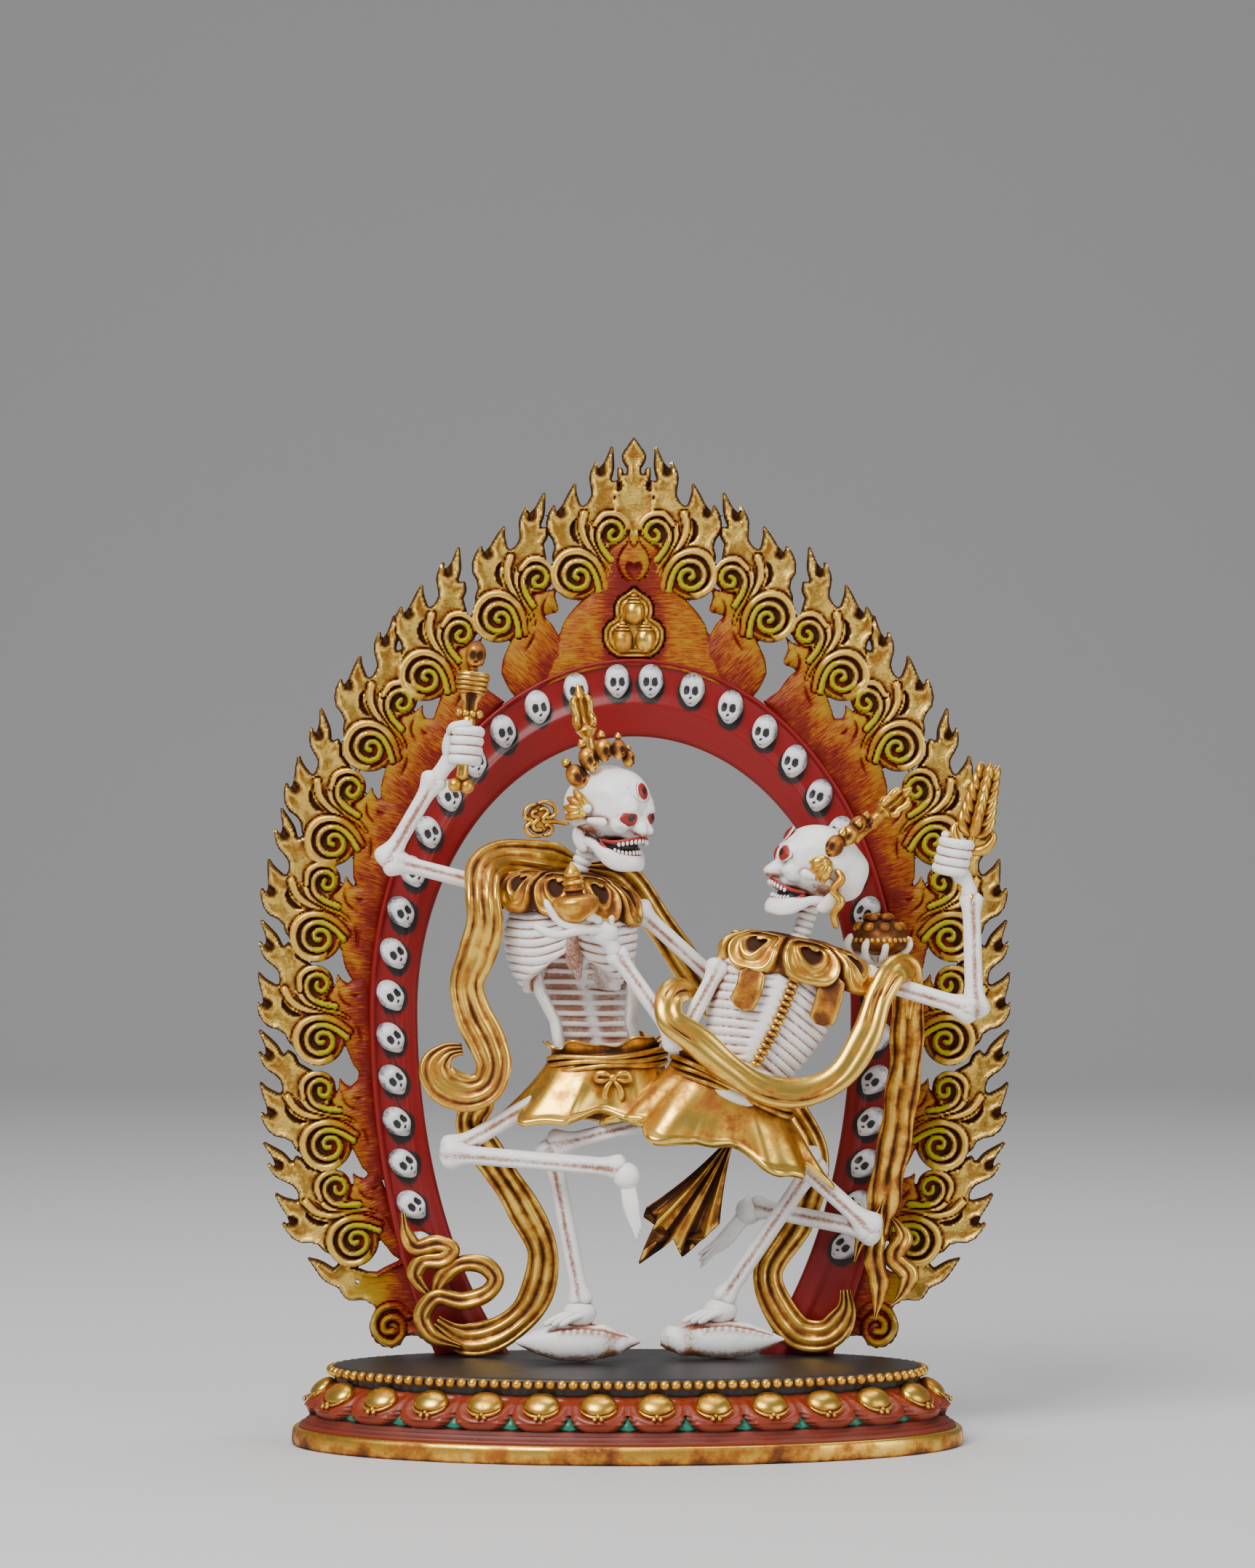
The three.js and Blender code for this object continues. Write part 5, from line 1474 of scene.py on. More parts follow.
def foot(ankle, toe, width, spread=(1, 0, 0)):
    """A foot that points down: a heel knob, a narrow back of long bones, and five toes side by side."""
    ankle, toe, spread = arrays(ankle, toe, spread)
    parts = [ball(tuple(ankle), (1.75, 1.55, 1.8), 14, 20)]
    for place in np.linspace(-1, 1, 5):
        knuckle = ankle + 0.55 * (toe - ankle) + place * width * 0.62 * spread
        tip = toe + place * width * 0.42 * spread + (0, 0, 1.3 * abs(place))
        root = ankle + place * 0.5 * spread
        parts.append(tube([root, 0.5 * (root + knuckle) + (0, -0.3, 0), knuckle + (0, -0.2, 0), tip],
                          (0.62, 0.5, 0.55, 0.36, 0.26), 9, 20))
    return joined(parts)


# %% Shells
SHELL_HALF_LENGTH, SHELL_HIGH, SHELL_TURNS = 8.0, 2.55, 3.2


def shell(middle, spire=False):
    """A conch on its side. Its radius swells to the middle and runs to a point at both ends. A ridge winds
    round one end, and a row of small knobs runs along its lip. With a spire, the left end is a screw."""
    share = 0.5 - 0.5 * np.cos(np.linspace(0, math.pi, 110))[:, None]
    turn = circle(56)
    left = [0.3, 0.55, 0.72, 0.9] if spire else [0.06, 0.26, 0.6, 0.93]
    outline = np.interp(share, [0, 0.05, 0.16, 0.34, 0.55, 0.72, 0.88, 1], [*left, 1, 0.8, 0.42, 0.05])
    far = share if spire else 1 - share
    winding = far * SHELL_TURNS * 2.6 * math.pi
    ridge = np.abs(np.sin((turn + winding) / 2)) ** 4 * (1 - eased(far, 0.22, 0.4))
    lip_gap = (turn - 0.12 * math.pi - 0.25 * np.sin(share * math.pi) + math.pi) % (2 * math.pi) - math.pi
    on_lip = bell(lip_gap, 0.16) * eased(share, 0.3, 0.38) * (1 - eased(share, 0.86, 0.92))
    knobs = on_lip * (0.5 + 0.5 * np.sin(share * 110))
    groove = bell(lip_gap - 0.3, 0.1) * eased(share, 0.2, 0.3) * (1 - eased(share, 0.88, 0.95))
    radius = SHELL_HIGH * outline * (1 + 0.16 * ridge + 0.22 * knobs - 0.17 * groove)
    x = middle[0] + (share * 2 - 1) * SHELL_HALF_LENGTH + 0 * turn
    points = np.stack([x, middle[1] - 0.95 * radius * np.cos(turn), middle[2] + radius * np.sin(turn)], -1)
    points[..., 2] = np.maximum(points[..., 2], PLATE_TOP + 0.02)
    stain = 0.5 * groove + 0.22 * on_lip * (1 - knobs) + 0.24 * (1 - ridge) * (1 - eased(far, 0.22, 0.4))
    # The underside of the shell is darker: painted shade.
    stain = stain + 0.34 * eased(-np.sin(turn), 0.3, 0.8) + 0.06
    return surface(points, stain=stain)


# %% [markdown]
# ## Gilt ornaments
#
# Collars, skirts and sashes are cast in one with the bodies, so they have folds but no thin cloth edge. A
# skirt here is a ring of oval sections whose radius waves round it, more and more towards the hem; it rolls
# over at the hem and turns up inside, so it is closed. The carved collar is the same kind of ring with a
# repeated scroll for its relief.


# %% Skirts, ruffles and sashes
def ring_stack(rings, rows):
    """Centre, half-width, half-depth and tilt at even steps through rings that give the same."""
    return curve([[*centre, width, depth, tilt] for centre, width, depth, tilt in rings], rows)


def skirt(rings, folds, wave, drop, phase, thick=0.5, rows=50, columns=200, brown=0.3):
    """A skirt through oval rings. Its folds are broad and grow down the cloth, a narrower fold rides on each,
    and the hem hangs lower where the cloth stands out. The hem is a thin bright roll; it turns up inside."""
    table = ring_stack(rings, rows)
    way = np.linspace(0, 1, rows)
    turn = circle(columns)
    slow = np.sin(folds * turn + phase + 0.5 * np.sin(2 * turn))
    fold = 0.78 * np.sign(slow) * np.abs(slow) ** 0.7 + 0.30 * np.sin(2 * folds * turn + 1.1 + phase)

    def ring(row, inward, roll=0.0):
        cx, cy, cz, width, depth, tilt = table[row].T
        growth = way[row][:, None] ** 1.3
        swell = 1 + wave * growth * fold
        across = (width[:, None] * swell + roll - inward) * np.cos(turn)
        deep = (depth[:, None] * (1 + 2.4 * wave * growth * fold) + roll - inward) * np.sin(turn)
        return np.stack([cx[:, None] + across * np.cos(tilt)[:, None], cy[:, None] + deep,
                         cz[:, None] + across * np.sin(tilt)[:, None] - drop * growth ** 1.6 * fold], -1)

    hem_roll = 0.34 * bell(way - 0.95, 0.045)[:, None]
    outer = ring(np.arange(rows), 0, hem_roll)
    roll_turn = np.linspace(0.2, 2.94, 7)
    hem = ring(np.full(7, rows - 1), (thick * (0.5 - 0.5 * np.cos(roll_turn)))[:, None])
    hem[..., 2] -= (0.5 * thick * np.sin(roll_turn))[:, None]
    inner = ring(np.arange(rows - 1, rows // 4, -3), thick)
    valley = eased(-fold, -0.3, 0.9)
    # Wash in the valleys of the folds, rubbed bright on the crests and at the hem; darker as painted shade at
    # the waist under the ruffle and inside the turned-up cloth.
    wash_wear_and_shade = brown * (0.6 + 1.2 * valley) * (0.55 + 0.45 * (1 - way[:, None]))
    wash_wear_and_shade = wash_wear_and_shade + 0.25 * (1 - eased(way, 0.0, 0.2))[:, None]
    wash_wear_and_shade = wash_wear_and_shade - 0.45 * bell(way - 0.96, 0.05)[:, None] - 0.12 * eased(fold, 0.2, 0.9) * way[:, None]
    stain = np.vstack([wash_wear_and_shade, np.full((7, columns), -0.3), np.full((len(inner), columns), 0.35)])
    return surface(np.vstack([outer, hem, inner]), stain=stain)


def ruffle(rings, folds, phase):
    """The short ruffle that stands up over the sash: a skirt whose hem is above."""
    return skirt(rings, folds, wave=0.075, drop=-0.65, phase=phase, thick=0.4, rows=30, columns=150)


def sash(centre, width, depth, tilt):
    """Three cords side by side round the waist; each wanders a little up and down."""
    thick, pitch, wander = 0.42, 0.72, 0.22
    turn = np.linspace(0, 2 * math.pi, 60)
    parts = []
    for number in range(3):
        lift = (number - 1) * pitch + wander * np.sin(3 * turn + 1.3 * number)
        swell = 1 + 0.02 * np.sin(5 * turn + number)
        across = width * swell * np.cos(turn)
        path = np.stack([centre[0] + across * math.cos(tilt), centre[1] + depth * swell * np.sin(turn),
                         centre[2] + across * math.sin(tilt) + lift], -1)
        parts.append(tube(path, (thick, thick * 0.85, thick), 9, 110, facing=(0, 0, 1)))
    return marked(joined(parts), stain=0.08)


def cape(rings, lobes, brown, relief=0.75):
    """A carved collar: a ring of plates. Each has a thick rim, a kidney-shaped hollow with a dark floor under
    a hooked curl, and a small knob at each upper corner; its lower edge is round."""
    rows, columns = 54, 342
    table = ring_stack(rings, rows)
    way = np.linspace(0, 1, rows)[:, None]
    turn = circle(columns)
    cell = (turn * lobes / (2 * math.pi)) % 1 * 2 - 1
    plate_gap = ((cell / 0.94) ** 4 + ((way - 0.56) / 0.44) ** 4) ** 0.25 - 1
    kidney = np.hypot(cell * 1.05, (way - 0.60 + 0.25 * cell ** 2) * 2.5) - 0.42
    curl = np.hypot(cell * 1.2 - 0.12, (way - 0.44) * 2.4) - 0.16
    knob = np.hypot((np.abs(cell) - 0.72) * 1.2, (way - 0.24) * 2.2) - 0.1
    bumps = 0.75 * bell(plate_gap + 0.14, 0.12) + 0.55 * bell(kidney - 0.10, 0.12)
    bumps += 0.8 * bell(np.clip(curl, 0, None), 0.1) + 0.6 * bell(np.clip(knob, 0, None), 0.1)
    hollow = (1 - eased(kidney, -0.08, 0.02)) * eased(curl, 0.02, 0.12)
    seam = eased(plate_gap, -0.04, 0.06)
    bumps = np.clip(bumps, 0, 1.1) - 0.45 * hollow - 0.6 * seam * eased(way, 0.1, 0.3)
    drop = 0.8 * np.clip(1 - np.abs(cell) ** 3, 0, 1) * eased(way, 0.55, 1.0)
    cx, cy, cz, width, depth, tilt = (table[:, [k]] for k in range(6))
    out = relief * bumps
    across = (width + out) * np.cos(turn)
    points = np.stack([cx + across * np.cos(tilt), cy + (depth + out) * np.sin(turn),
                       cz + across * np.sin(tilt) - drop], -1)
    stain = brown + 0.75 * hollow + 0.45 * seam - 0.25 * np.clip(bumps, 0, 1)
    middle = np.concatenate([cx[-1:], cy[-1:], cz[-1:]], 1)[:, None]
    under_rows = [middle + (points[-1:] - middle) * (share, share, 1.0) + (0, 0, lift)
                  for share, lift in ((0.93, 0.3), (0.6, 0.8))]
    # The underside of the collar is darker: painted shade.
    stain = np.vstack([stain, np.full((2, columns), 0.5)])
    return surface(np.vstack([points, *under_rows]), stain=stain)


def bow(centre, size):
    """A small bow: a knot, two loops and two tails."""
    parts = [ball((0, 0, 0), (0.62, 0.5, 0.55), 10, 14)]
    for side in (-1, 1):
        loop = [(0, 0, 0), (side * 0.9, -0.25, 0.55), (side * 1.9, -0.1, 0.45), (side * 2.05, 0, -0.15),
                (side * 1.2, -0.15, -0.35), (0, 0, 0)]
        parts.append(tube(loop, (0.2, 0.36, 0.34, 0.34, 0.2), 8, 34, flat=0.7))
        parts.append(tube([(0, -0.1, -0.2), (side * 0.7, -0.35, -1.0), (side * 1.0, -0.3, -2.0),
                           (side * 0.85, -0.2, -2.7)],
                          (0.25, 0.34, 0.42, 0.36), 8, 22, flat=0.55))
    return moved(joined(parts), centre, np.eye(3), size)


# %% Crowns and finials
def crown_skull(centre, yaw, nod, roll, size):
    """A gilt skull with a flame bud on its head."""
    bud = tube([(0, 0.1, 1.2), (0.05, 0.1, 1.75), (-0.05, 0.1, 2.3)], (0.3, 0.5, 0.42, 0.05), 10, 16)
    return moved(joined([small_skull(), bud]), centre, turned_axes(yaw, nod, roll), size)


def half_thunderbolt(start, end):
    """The finial: a ringed stem, a lotus ring, four curved prongs round a core, and a bud on top."""
    start, end = arrays(start, end)
    along = unit(end - start)
    side = unit(np.cross(along, (0, -1, 0)))
    front = np.cross(side, along)
    stem = [(0.95, 0), (0.8, 0.08), (0.72, 0.2), (0.85, 0.26), (1.0, 0.3), (0.82, 0.34), (0.8, 0.46),
            (1.15, 0.5), (1.45, 0.53), (1.2, 0.56), (0.6, 0.6), (0.5, 0.8), (0.9, 0.85), (0.75, 0.88),
            (0.5, 0.92), (0.25, 0.97), (0.02, 1.0)]
    parts = [turned(start, end, stem, 20, 3)]
    length = np.linalg.norm(end - start)
    for angle in np.radians((40, 130, 220, 310)):
        out = np.cos(angle) * side + np.sin(angle) * front
        prong = [(0.9, 0.55), (1.55, 0.6), (1.3, 0.68), (1.5, 0.78), (1.25, 0.84), (0.7, 0.86)]
        path = [start + length * share * along + radius * out for radius, share in prong]
        parts.append(tube(path, (0.42, 0.48, 0.4, 0.44, 0.3), 8, 26))
    return joined(parts)


print("bones and ornaments ready")

# %% [markdown]
# ## The father
#
# He stands on one leg and kicks the other across, a club with a small skeleton in his raised fist and a
# skull cup in the other hand. His bones are one casting and one coat of paint, so they are one piece here;
# what is gilt on him is a second one.

# %% His bones
def toes(root, knuckle, tip):
    """Three toes side by side. Each lies further to the right than the last and reaches further forwards."""
    return [finger([np.add(root, (shift, 0, 0)), np.add(knuckle, (shift, -0.2 * shift, 0)),
                    np.add(tip, (shift, -0.2 * shift, 0))], 0.5)
            for shift in (-0.4, 0.6, 1.6)]


def fingers(lines, thick):
    """Several fingers, one for each line of points and thickness."""
    return [finger(points, size) for points, size in zip(lines, thick)]


blood_red, eye_black = (0.30, 0.012, 0.009), (0.014, 0.009, 0.009)
figure_paint = bone_paint("figure_bone_paint", inks=[("blood", blood_red), ("dark", eye_black)])
palm = (30.6, 4.0, 62.0)
cup_fingers = [[(29.6, 3.2, 61.6), (28.0, 2.0, 62.4), (27.4, 1.2, 63.9), (27.9, 0.8, 65.2)],
               [(30.6, 2.8, 61.4), (29.8, 1.1, 62.0), (29.6, 0.2, 63.4), (30.0, 0.0, 64.6)],
               [(31.8, 2.8, 61.5), (32.0, 1.0, 62.1), (32.2, 0.2, 63.4), (32.2, 0.1, 64.5)],
               [(32.6, 3.2, 61.8), (34.4, 2.4, 62.4), (35.4, 2.0, 63.6), (35.2, 1.8, 64.8)]]
father_bones = [
    head((-3.1, 0.6, 82.0), 49),
    ringed((-5.0, 1.0, 78.6), (-8.3, 1.4, 70.5), 1.1, 9),
    rib_cage((-8.3, 1.5, 70.2), (-8.0, 1.6, 57.6), (6.2, 7.9, 8.6, 8.3, 7.5, 5.9), 0.58,
             dip=(0.3, 1.3), rise=(0.2, 1.7), pitch=1.12, front_end=5.6),
    hollow_loins((-7.9, 2.2, 66.0), (-4.4, 2.6, 49.6), (6.6, 7.0, 6.9, 5.6, 5.8), 0.6, wall=0.85, rows=104,
                 bars=12),
    marked(tube([(-8.0, -3.2, 67.0), (-7.9, -3.7, 64.5), (-7.6, -3.6, 62.0), (-7.0, -3.0, 59.4)],
                (0.8, 0.7, 1.15, 0.3), 12, 28),
           stain=0.42),
    *limb((-15.6, 1.0, 70.6), (-31.4, -0.5, 74.6), (-25.4, -1.5, 85.2)),
    *limb((0.4, 2.0, 68.4), (15.6, 6.4, 54.3), (28.8, 5.0, 61.6)),
    fist((-21.8, -2.2, 89.3), (0.11, 0, 1), (0.75, -0.66, 0), 1.04),
    tube([(-25.6, -1.5, 84.6), (-24.2, -1.9, 86.6), (-22.9, -2.2, 88.2)], (1.1, 1.0, 1.35), 12, 14),
    ball(palm, (2.7, 1.9, 1.25), 12, 18),
    *fingers(cup_fingers, (0.55, 0.55, 0.55, 0.5)),
    *limb((-9.0, 1.5, 45.6), (-23.6, -3.0, 37.4), (-1.6, -5.3, 35.6), knobs=(1.5, 1.85, 1.5), shaft=1.12),
    *limb((1.5, 4.0, 45.7), (23.2, 5.5, 35.4), (11.4, 5.7, 17.6), knobs=(1.5, 1.85, 1.4), shaft=1.1),
    foot((-1.0, -5.5, 34.6), (0.4, -6.0, 26.4), 0.95),
    ball((11.1, 5.6, 16.2), (2.3, 1.7, 1.8), 12, 18),
    *toes((11.0, 4.9, 16.4), (8.6, 4.2, 15.9), (6.6, 3.9, 14.9)),
    shell((11.4, 5.4, 12.6), spire=True),
]
stud = ball((-6.0, -3.6, 81.3), (0.6, 0.6, 0.6), 10, 14)
make_piece("father_bones", joined([*father_bones, stud]), ["father_skeleton"], figure_paint)

# %% His gilt ornaments
crown_seats = [((-7.2, -1.6, 85.3), 15, 15, -38, 1.35), ((-5.8, -2.2, 87.5), 30, 10, -22, 1.25),
               ((-3.9, -2.3, 88.7), 40, 5, -6, 1.15), ((-2.0, -1.8, 88.8), 55, 5, 6, 0.98),
               ((-0.7, -0.8, 87.6), 70, 5, 16, 0.84)]
PETAL_TIPS = [(-8.9, -2.7, 80.1), (-9.1, -2.6, 81.4), (-8.6, -2.7, 82.7), (-7.7, -2.9, 83.7)]
ear_petals = [tube([(-5.9, -3.1, 80.8), (0.45 * x - 3.3, -3.3, 0.5 * z + 40.5), (x, y, z)],
                   (0.35, 0.75, 0.7, 0.2), 10, 20)
              for x, y, z in PETAL_TIPS]


def cloud_scroll(centre, facing_yaw):
    """A flat openwork cloud: two nested C curls side by side, with a stem."""
    curls = [
        [(-0.6, 0, 2.0), (-1.9, 0, 1.4), (-2.1, 0, 0.2), (-1.2, 0, -0.2), (-2.0, 0, -1.1), (-1.4, 0, -2.0),
         (0.2, 0, -2.1)],
        [(-0.4, 0, 1.1), (-1.1, 0, 0.9), (-1.2, 0, 0.4), (-0.4, 0, 0.1), (-1.1, 0, -0.7), (-0.9, 0, -1.3),
         (0.2, 0, -1.4)],
        [(-0.6, 0, 2.0), (0.7, 0, 2.2), (1.8, 0, 1.5), (1.7, 0, 0.5), (0.8, 0, 0.2), (0.4, 0, 0.8)],
        [(0.2, 0, -2.1), (1.0, 0, -1.9), (1.4, 0, -1.2), (0.9, 0, -0.7), (0.4, 0, -1.0)],
        [(-0.4, 0, 1.1), (0.5, 0, 1.4), (0.9, 0, 0.9), (0.3, 0, 0.2), (0.3, 0, -0.3), (1.6, 0, -0.3),
         (3.6, 0, -0.6)],
    ]
    parts = [tube(points, (0.26, 0.34, 0.3), 9, 40, flat=1.5) for points in curls]
    parts.append(ball((-0.2, 0.12, 0), (1.7, 0.22, 1.9), 8, 24))
    return moved(joined(parts), centre, turned_axes(facing_yaw))


def club(low_end, top):
    """A club in the form of a little skeleton: two knobs, a shaft, a pelvis, a rib cage and a skull."""
    low_end, top = arrays(low_end, top)
    along = unit(top - low_end)
    axes = turned_axes(8, 0, math.degrees(math.atan2(along[0], along[2])))

    def place(x, y, lift):
        return low_end + along * lift + np.array([x, y, 0]) @ axes

    parts = [ball(tuple(place(side * 0.75, 0, 0.8)), (0.95, 0.9, 0.95), 12, 16) for side in (-1, 1)]
    parts.append(tube([place(0, 0, 1.2), place(0, 0, 4.5), place(0, 0, 9.0), place(0, 0, 10.0)],
                      (0.85, 0.7, 0.8, 1.0), 12, 24))
    parts += [ball(tuple(place(x, -0.2, 10.1)), (0.55, 0.6, 0.55), 8, 12) for x in (-1.3, -0.45, 0.45, 1.3)]
    height = np.linspace(10.4, 15.4, 90)
    turn = circle(40)
    width = np.interp(height, [10.4, 11.6, 13.2, 15.0, 15.4], [1.0, 1.05, 1.75, 1.95, 1.7])[:, None]
    ribs = 0.3 * np.abs(np.sin(height * math.pi / 0.62))[:, None] ** 0.6 * eased(height, 12.4, 12.7)[:, None]
    belly = 0.8 * bell(turn - 1.5 * math.pi, 0.55) * (1 - eased(height, 12.3, 13.0))[:, None]
    groove = 0.16 * bell(np.sin(turn - 1.5 * math.pi), 0.1)
    out = width + ribs - belly - groove * (height > 12.6)[:, None]
    local = np.stack([out * np.cos(turn), 0.72 * out * np.sin(turn), 0 * out], -1)
    # Painted shade in the open belly, and a wash between the ribs.
    stain = 0.6 * (belly > 0.2) + 0.3 * (ribs < 0.15) * (height > 12.6)[:, None] + 0 * turn
    parts.append(surface(low_end + along * height[:, None, None] + local @ axes, stain=stain))
    parts.append(ringed(place(0, 0, 15.2), place(0, 0, 16.4), 0.5, 3))
    parts.append(moved(small_skull(26, 34), place(0, -0.2, 17.6), axes, 1.34))
    return joined(parts)


collar_rings = [((-8.3, 1.4, 73.2), 3.4, 2.2, -0.1), ((-8.4, 1.2, 72.4), 6.4, 3.4, -0.12),
                ((-8.5, 1.0, 70.8), 8.8, 4.7, -0.12), ((-8.4, 1.0, 67.9), 9.2, 5.5, -0.12)]
skirt_rings = [((-3.6, 2.1, 50.0), 7.1, 4.0, 0.05), ((-3.9, 2.1, 48.4), 7.7, 4.2, 0.05),
               ((-4.6, 1.9, 45.2), 9.2, 4.9, 0.0),
               ((-5.4, 1.6, 41.5), 11.6, 5.8, -0.05)]
ruffle_rings = [((-3.7, 2.1, 49.2), 6.9, 3.9, 0.07), ((-3.7, 2.1, 50.2), 6.8, 3.9, 0.07),
                ((-3.6, 2.1, 51.4), 7.5, 4.5, 0.08)]
cup_profile = [(1.5, 0), (2.1, 0.06), (3.4, 0.16), (4.0, 0.34), (4.1, 0.42), (3.8, 0.45), (3.5, 0.5),
               (3.1, 0.68), (2.3, 0.84), (1.1, 0.96), (0.05, 1.0)]
CUP_BEADS, CUP_BEAD_HEIGHT = 34, 64.35
rim_turn = circle(CUP_BEADS)
CUP_X, CUP_Y = 31.6, 3.6
bead_height = np.full(CUP_BEADS, CUP_BEAD_HEIGHT)
cup_beads = np.stack([CUP_X + 4.1 * np.cos(rim_turn), CUP_Y + 3.9 * np.sin(rim_turn), bead_height], -1)
cup_clouds = [ball((CUP_X + across * math.cos(turn), CUP_Y + deep * math.sin(turn), height), size, 8, 12)
              for across, deep, height, size, turns in (
                  (2.7, 2.6, 65.9, (0.85, 0.8, 0.75), np.linspace(0, 5.6, 9)),
                  (1.4, 1.4, 67.1, (0.8, 0.8, 0.7), np.linspace(0.5, 5.3, 5)))
              for turn in turns]
father_gilt = [
    cape(collar_rings, lobes=9, brown=0.24),
    skirt(skirt_rings, 5, wave=0.13, drop=1.1, phase=-0.6, brown=0.06),
    ruffle(ruffle_rings, 6, phase=1.2),
    sash((-3.6, 2.1, 48.9), 7.55, 4.35, 0.07),
    bow((-2.7, -3.0, 46.9), 1.05),
    *[crown_skull(*seat) for seat in crown_seats],
    half_thunderbolt((-4.9, 1.0, 84.6), (-7.3, 1.0, 97.4)),
    *ear_petals,
    cloud_scroll((-11.9, 0.0, 79.9), 10),
    club((-22.2, -2.2, 83.4), (-20.0, -2.2, 103.2)),
    marked(turned((CUP_X, CUP_Y, 62.4), (CUP_X, CUP_Y, 67.3), cup_profile, 40, 3), stain=0.4),
    copies(ball(size=(0.36, 0.36, 0.34), rows=6, columns=9), cup_beads),
    *[marked(cloud, stain=0.22) for cloud in cup_clouds],
]
make_piece("father_gilding", joined(father_gilt), ["father_skeleton"], gold_finish)

# %% [markdown]
# ## The mother
#
# She dances with her back to the viewer and looks up to the left. She holds a small vase before his chest
# and an ear of grain in her far hand. Her spine is gilt, and two gilt straps hang from her collar.

# %% Her bones
vase_fingers = [[(-4.2, -7.8, 66.8), (-6.4, -9.4, 68.1), (-8.6, -10.0, 68.7)],
                [(-3.8, -7.8, 66.4), (-7.2, -9.2, 66.3), (-9.2, -9.6, 66.8), (-10.4, -9.8, 68.2),
                 (-11.3, -9.7, 69.9)],
                [(-3.8, -8.0, 65.8), (-6.8, -9.2, 66.0), (-10.1, -9.4, 65.4), (-12.8, -9.2, 66.6)],
                [(-2.9, -7.4, 66.0), (-2.9, -7.9, 67.0), (-2.8, -8.1, 67.8)]]
mother_bones = [
    head((23.9, -1.0, 74.4), -80, 22, 0.97, eyes=(-5.27, -0.84), third=1.93),
    ringed((22.8, -1.2, 69.8), (20.4, -1.5, 62.4), 1.1, 8),
    rib_cage((19.8, -1.5, 62.0), (14.2, -1.8, 48.6), (7.2, 8.2, 7.9, 7.0, 5.8), 0.56,
             dip=(0, 0), rise=(2.3, 2.0), pitch=1.12),
    ringed((14.3, -1.6, 49.0), (12.4, -1.6, 44.0), 4.6, 3, 0.08, 30),
    *limb((11.0, -3.0, 61.3), (5.7, -6.0, 51.8), (-2.4, -6.6, 63.0), knobs=(1.5, 1.75, 1.3)),
    *limb((29.6, -1.0, 59.7), (43.3, -2.0, 55.5), (43.1, -1.0, 70.0), knobs=(1.5, 1.75, 1.3), shaft=1.1),
    tube([(-2.2, -6.6, 62.6), (-3.2, -7.2, 64.4), (-4.6, -7.6, 65.8)], (1.1, 1.0, 1.5), 12, 14),
    ball((-3.9, -7.6, 65.6), (1.9, 1.2, 1.5), 12, 18),
    *fingers(vase_fingers, (0.72, 0.55, 0.66, 0.45)),
    tube([(43.1, -1.0, 69.6), (42.4, -1.2, 71.8), (41.2, -1.3, 73.6)], (1.15, 1.0, 1.4), 12, 14),
    fist((40.9, -1.3, 75.2), (0.26, 0, 1), (-0.72, -0.69, 0), 1.0),
    *limb((5.4, -0.5, 42.0), (-10.4, 0.0, 38.0), (-6.8, 1.4, 17.8), knobs=(1.5, 1.85, 1.4), shaft=1.1),
    *limb((17.5, -2.0, 39.2), (30.6, 1.0, 27.2), (15.6, 8.4, 29.4), knobs=(1.5, 1.8, 1.4), shaft=1.1),
    foot((14.9, 8.4, 28.9), (8.6, 8.2, 21.6), 0.9, (0.75, 0, -0.65)),
    ball((-7.0, 1.3, 16.4), (2.2, 1.7, 1.8), 12, 18),
    *toes((-7.0, 0.6, 16.6), (-9.4, -0.1, 16.0), (-11.2, -0.4, 15.0)),
    shell((-7.2, 1.5, 12.7)),
]
make_piece("mother_bones", joined(mother_bones), ["mother_skeleton"], figure_paint)


# %% Her gilt ornaments
def vase(low_end, top):
    """A turned vase with a wide bowl, rings on its neck and a pointed dome."""
    profile = [(1.0, 0), (1.9, 0.06), (2.8, 0.18), (3.05, 0.28), (3.0, 0.36), (2.7, 0.41), (2.0, 0.44),
               (1.2, 0.46), (1.05, 0.49), (1.35, 0.53), (1.4, 0.56), (1.1, 0.59), (1.15, 0.61),
               (1.45, 0.65), (1.2, 0.69), (0.7, 0.72), (1.05, 0.78), (1.1, 0.82), (0.8, 0.88), (0.35, 0.95),
               (0.05, 1.0)]
    return turned(low_end, top, profile, 32, 3)


LEAF_BEND = [(0, 0), (1.0, 0.6), (1.45, 1.7), (1.5, 2.7)]


def grain(low_end, top):
    """An ear of grain: a core, two curved leaves at its foot, and rings of flat pointed leaves above."""
    rings = 6
    low_end, top = arrays(low_end, top)
    along = unit(top - low_end)
    side = unit(np.cross(along, (0, -1, 0)))
    front = np.cross(side, along)
    length = np.linalg.norm(top - low_end)
    parts = [tube([low_end, low_end + 0.5 * (top - low_end), top], (0.6, 0.5, 0.4, 0.2), 10, 30)]
    for number in range(rings):
        start = 0.42 + 0.52 * number / rings
        size = 1.35 - 0.65 * number / rings
        for angle in np.radians((0, 45, 90, 135, 180, 270)):
            out = np.cos(angle) * side - np.sin(angle) * front
            root = low_end + along * length * start
            path = [root + size * (aside * out + up * along) for aside, up in LEAF_BEND]
            parts.append(tube(path, (0.3, 0.72, 0.6, 0.06), 8, 12))
    for way in (-1, 1):
        path = [low_end + along * length * 0.3, low_end + along * length * 0.36 + way * 2.0 * side,
                low_end + along * length * 0.46 + way * 2.6 * side,
                low_end + along * length * 0.5 + way * 1.7 * side]
        parts.append(tube(path, (0.5, 0.75, 0.55, 0.2), 9, 20))
    return joined(parts)


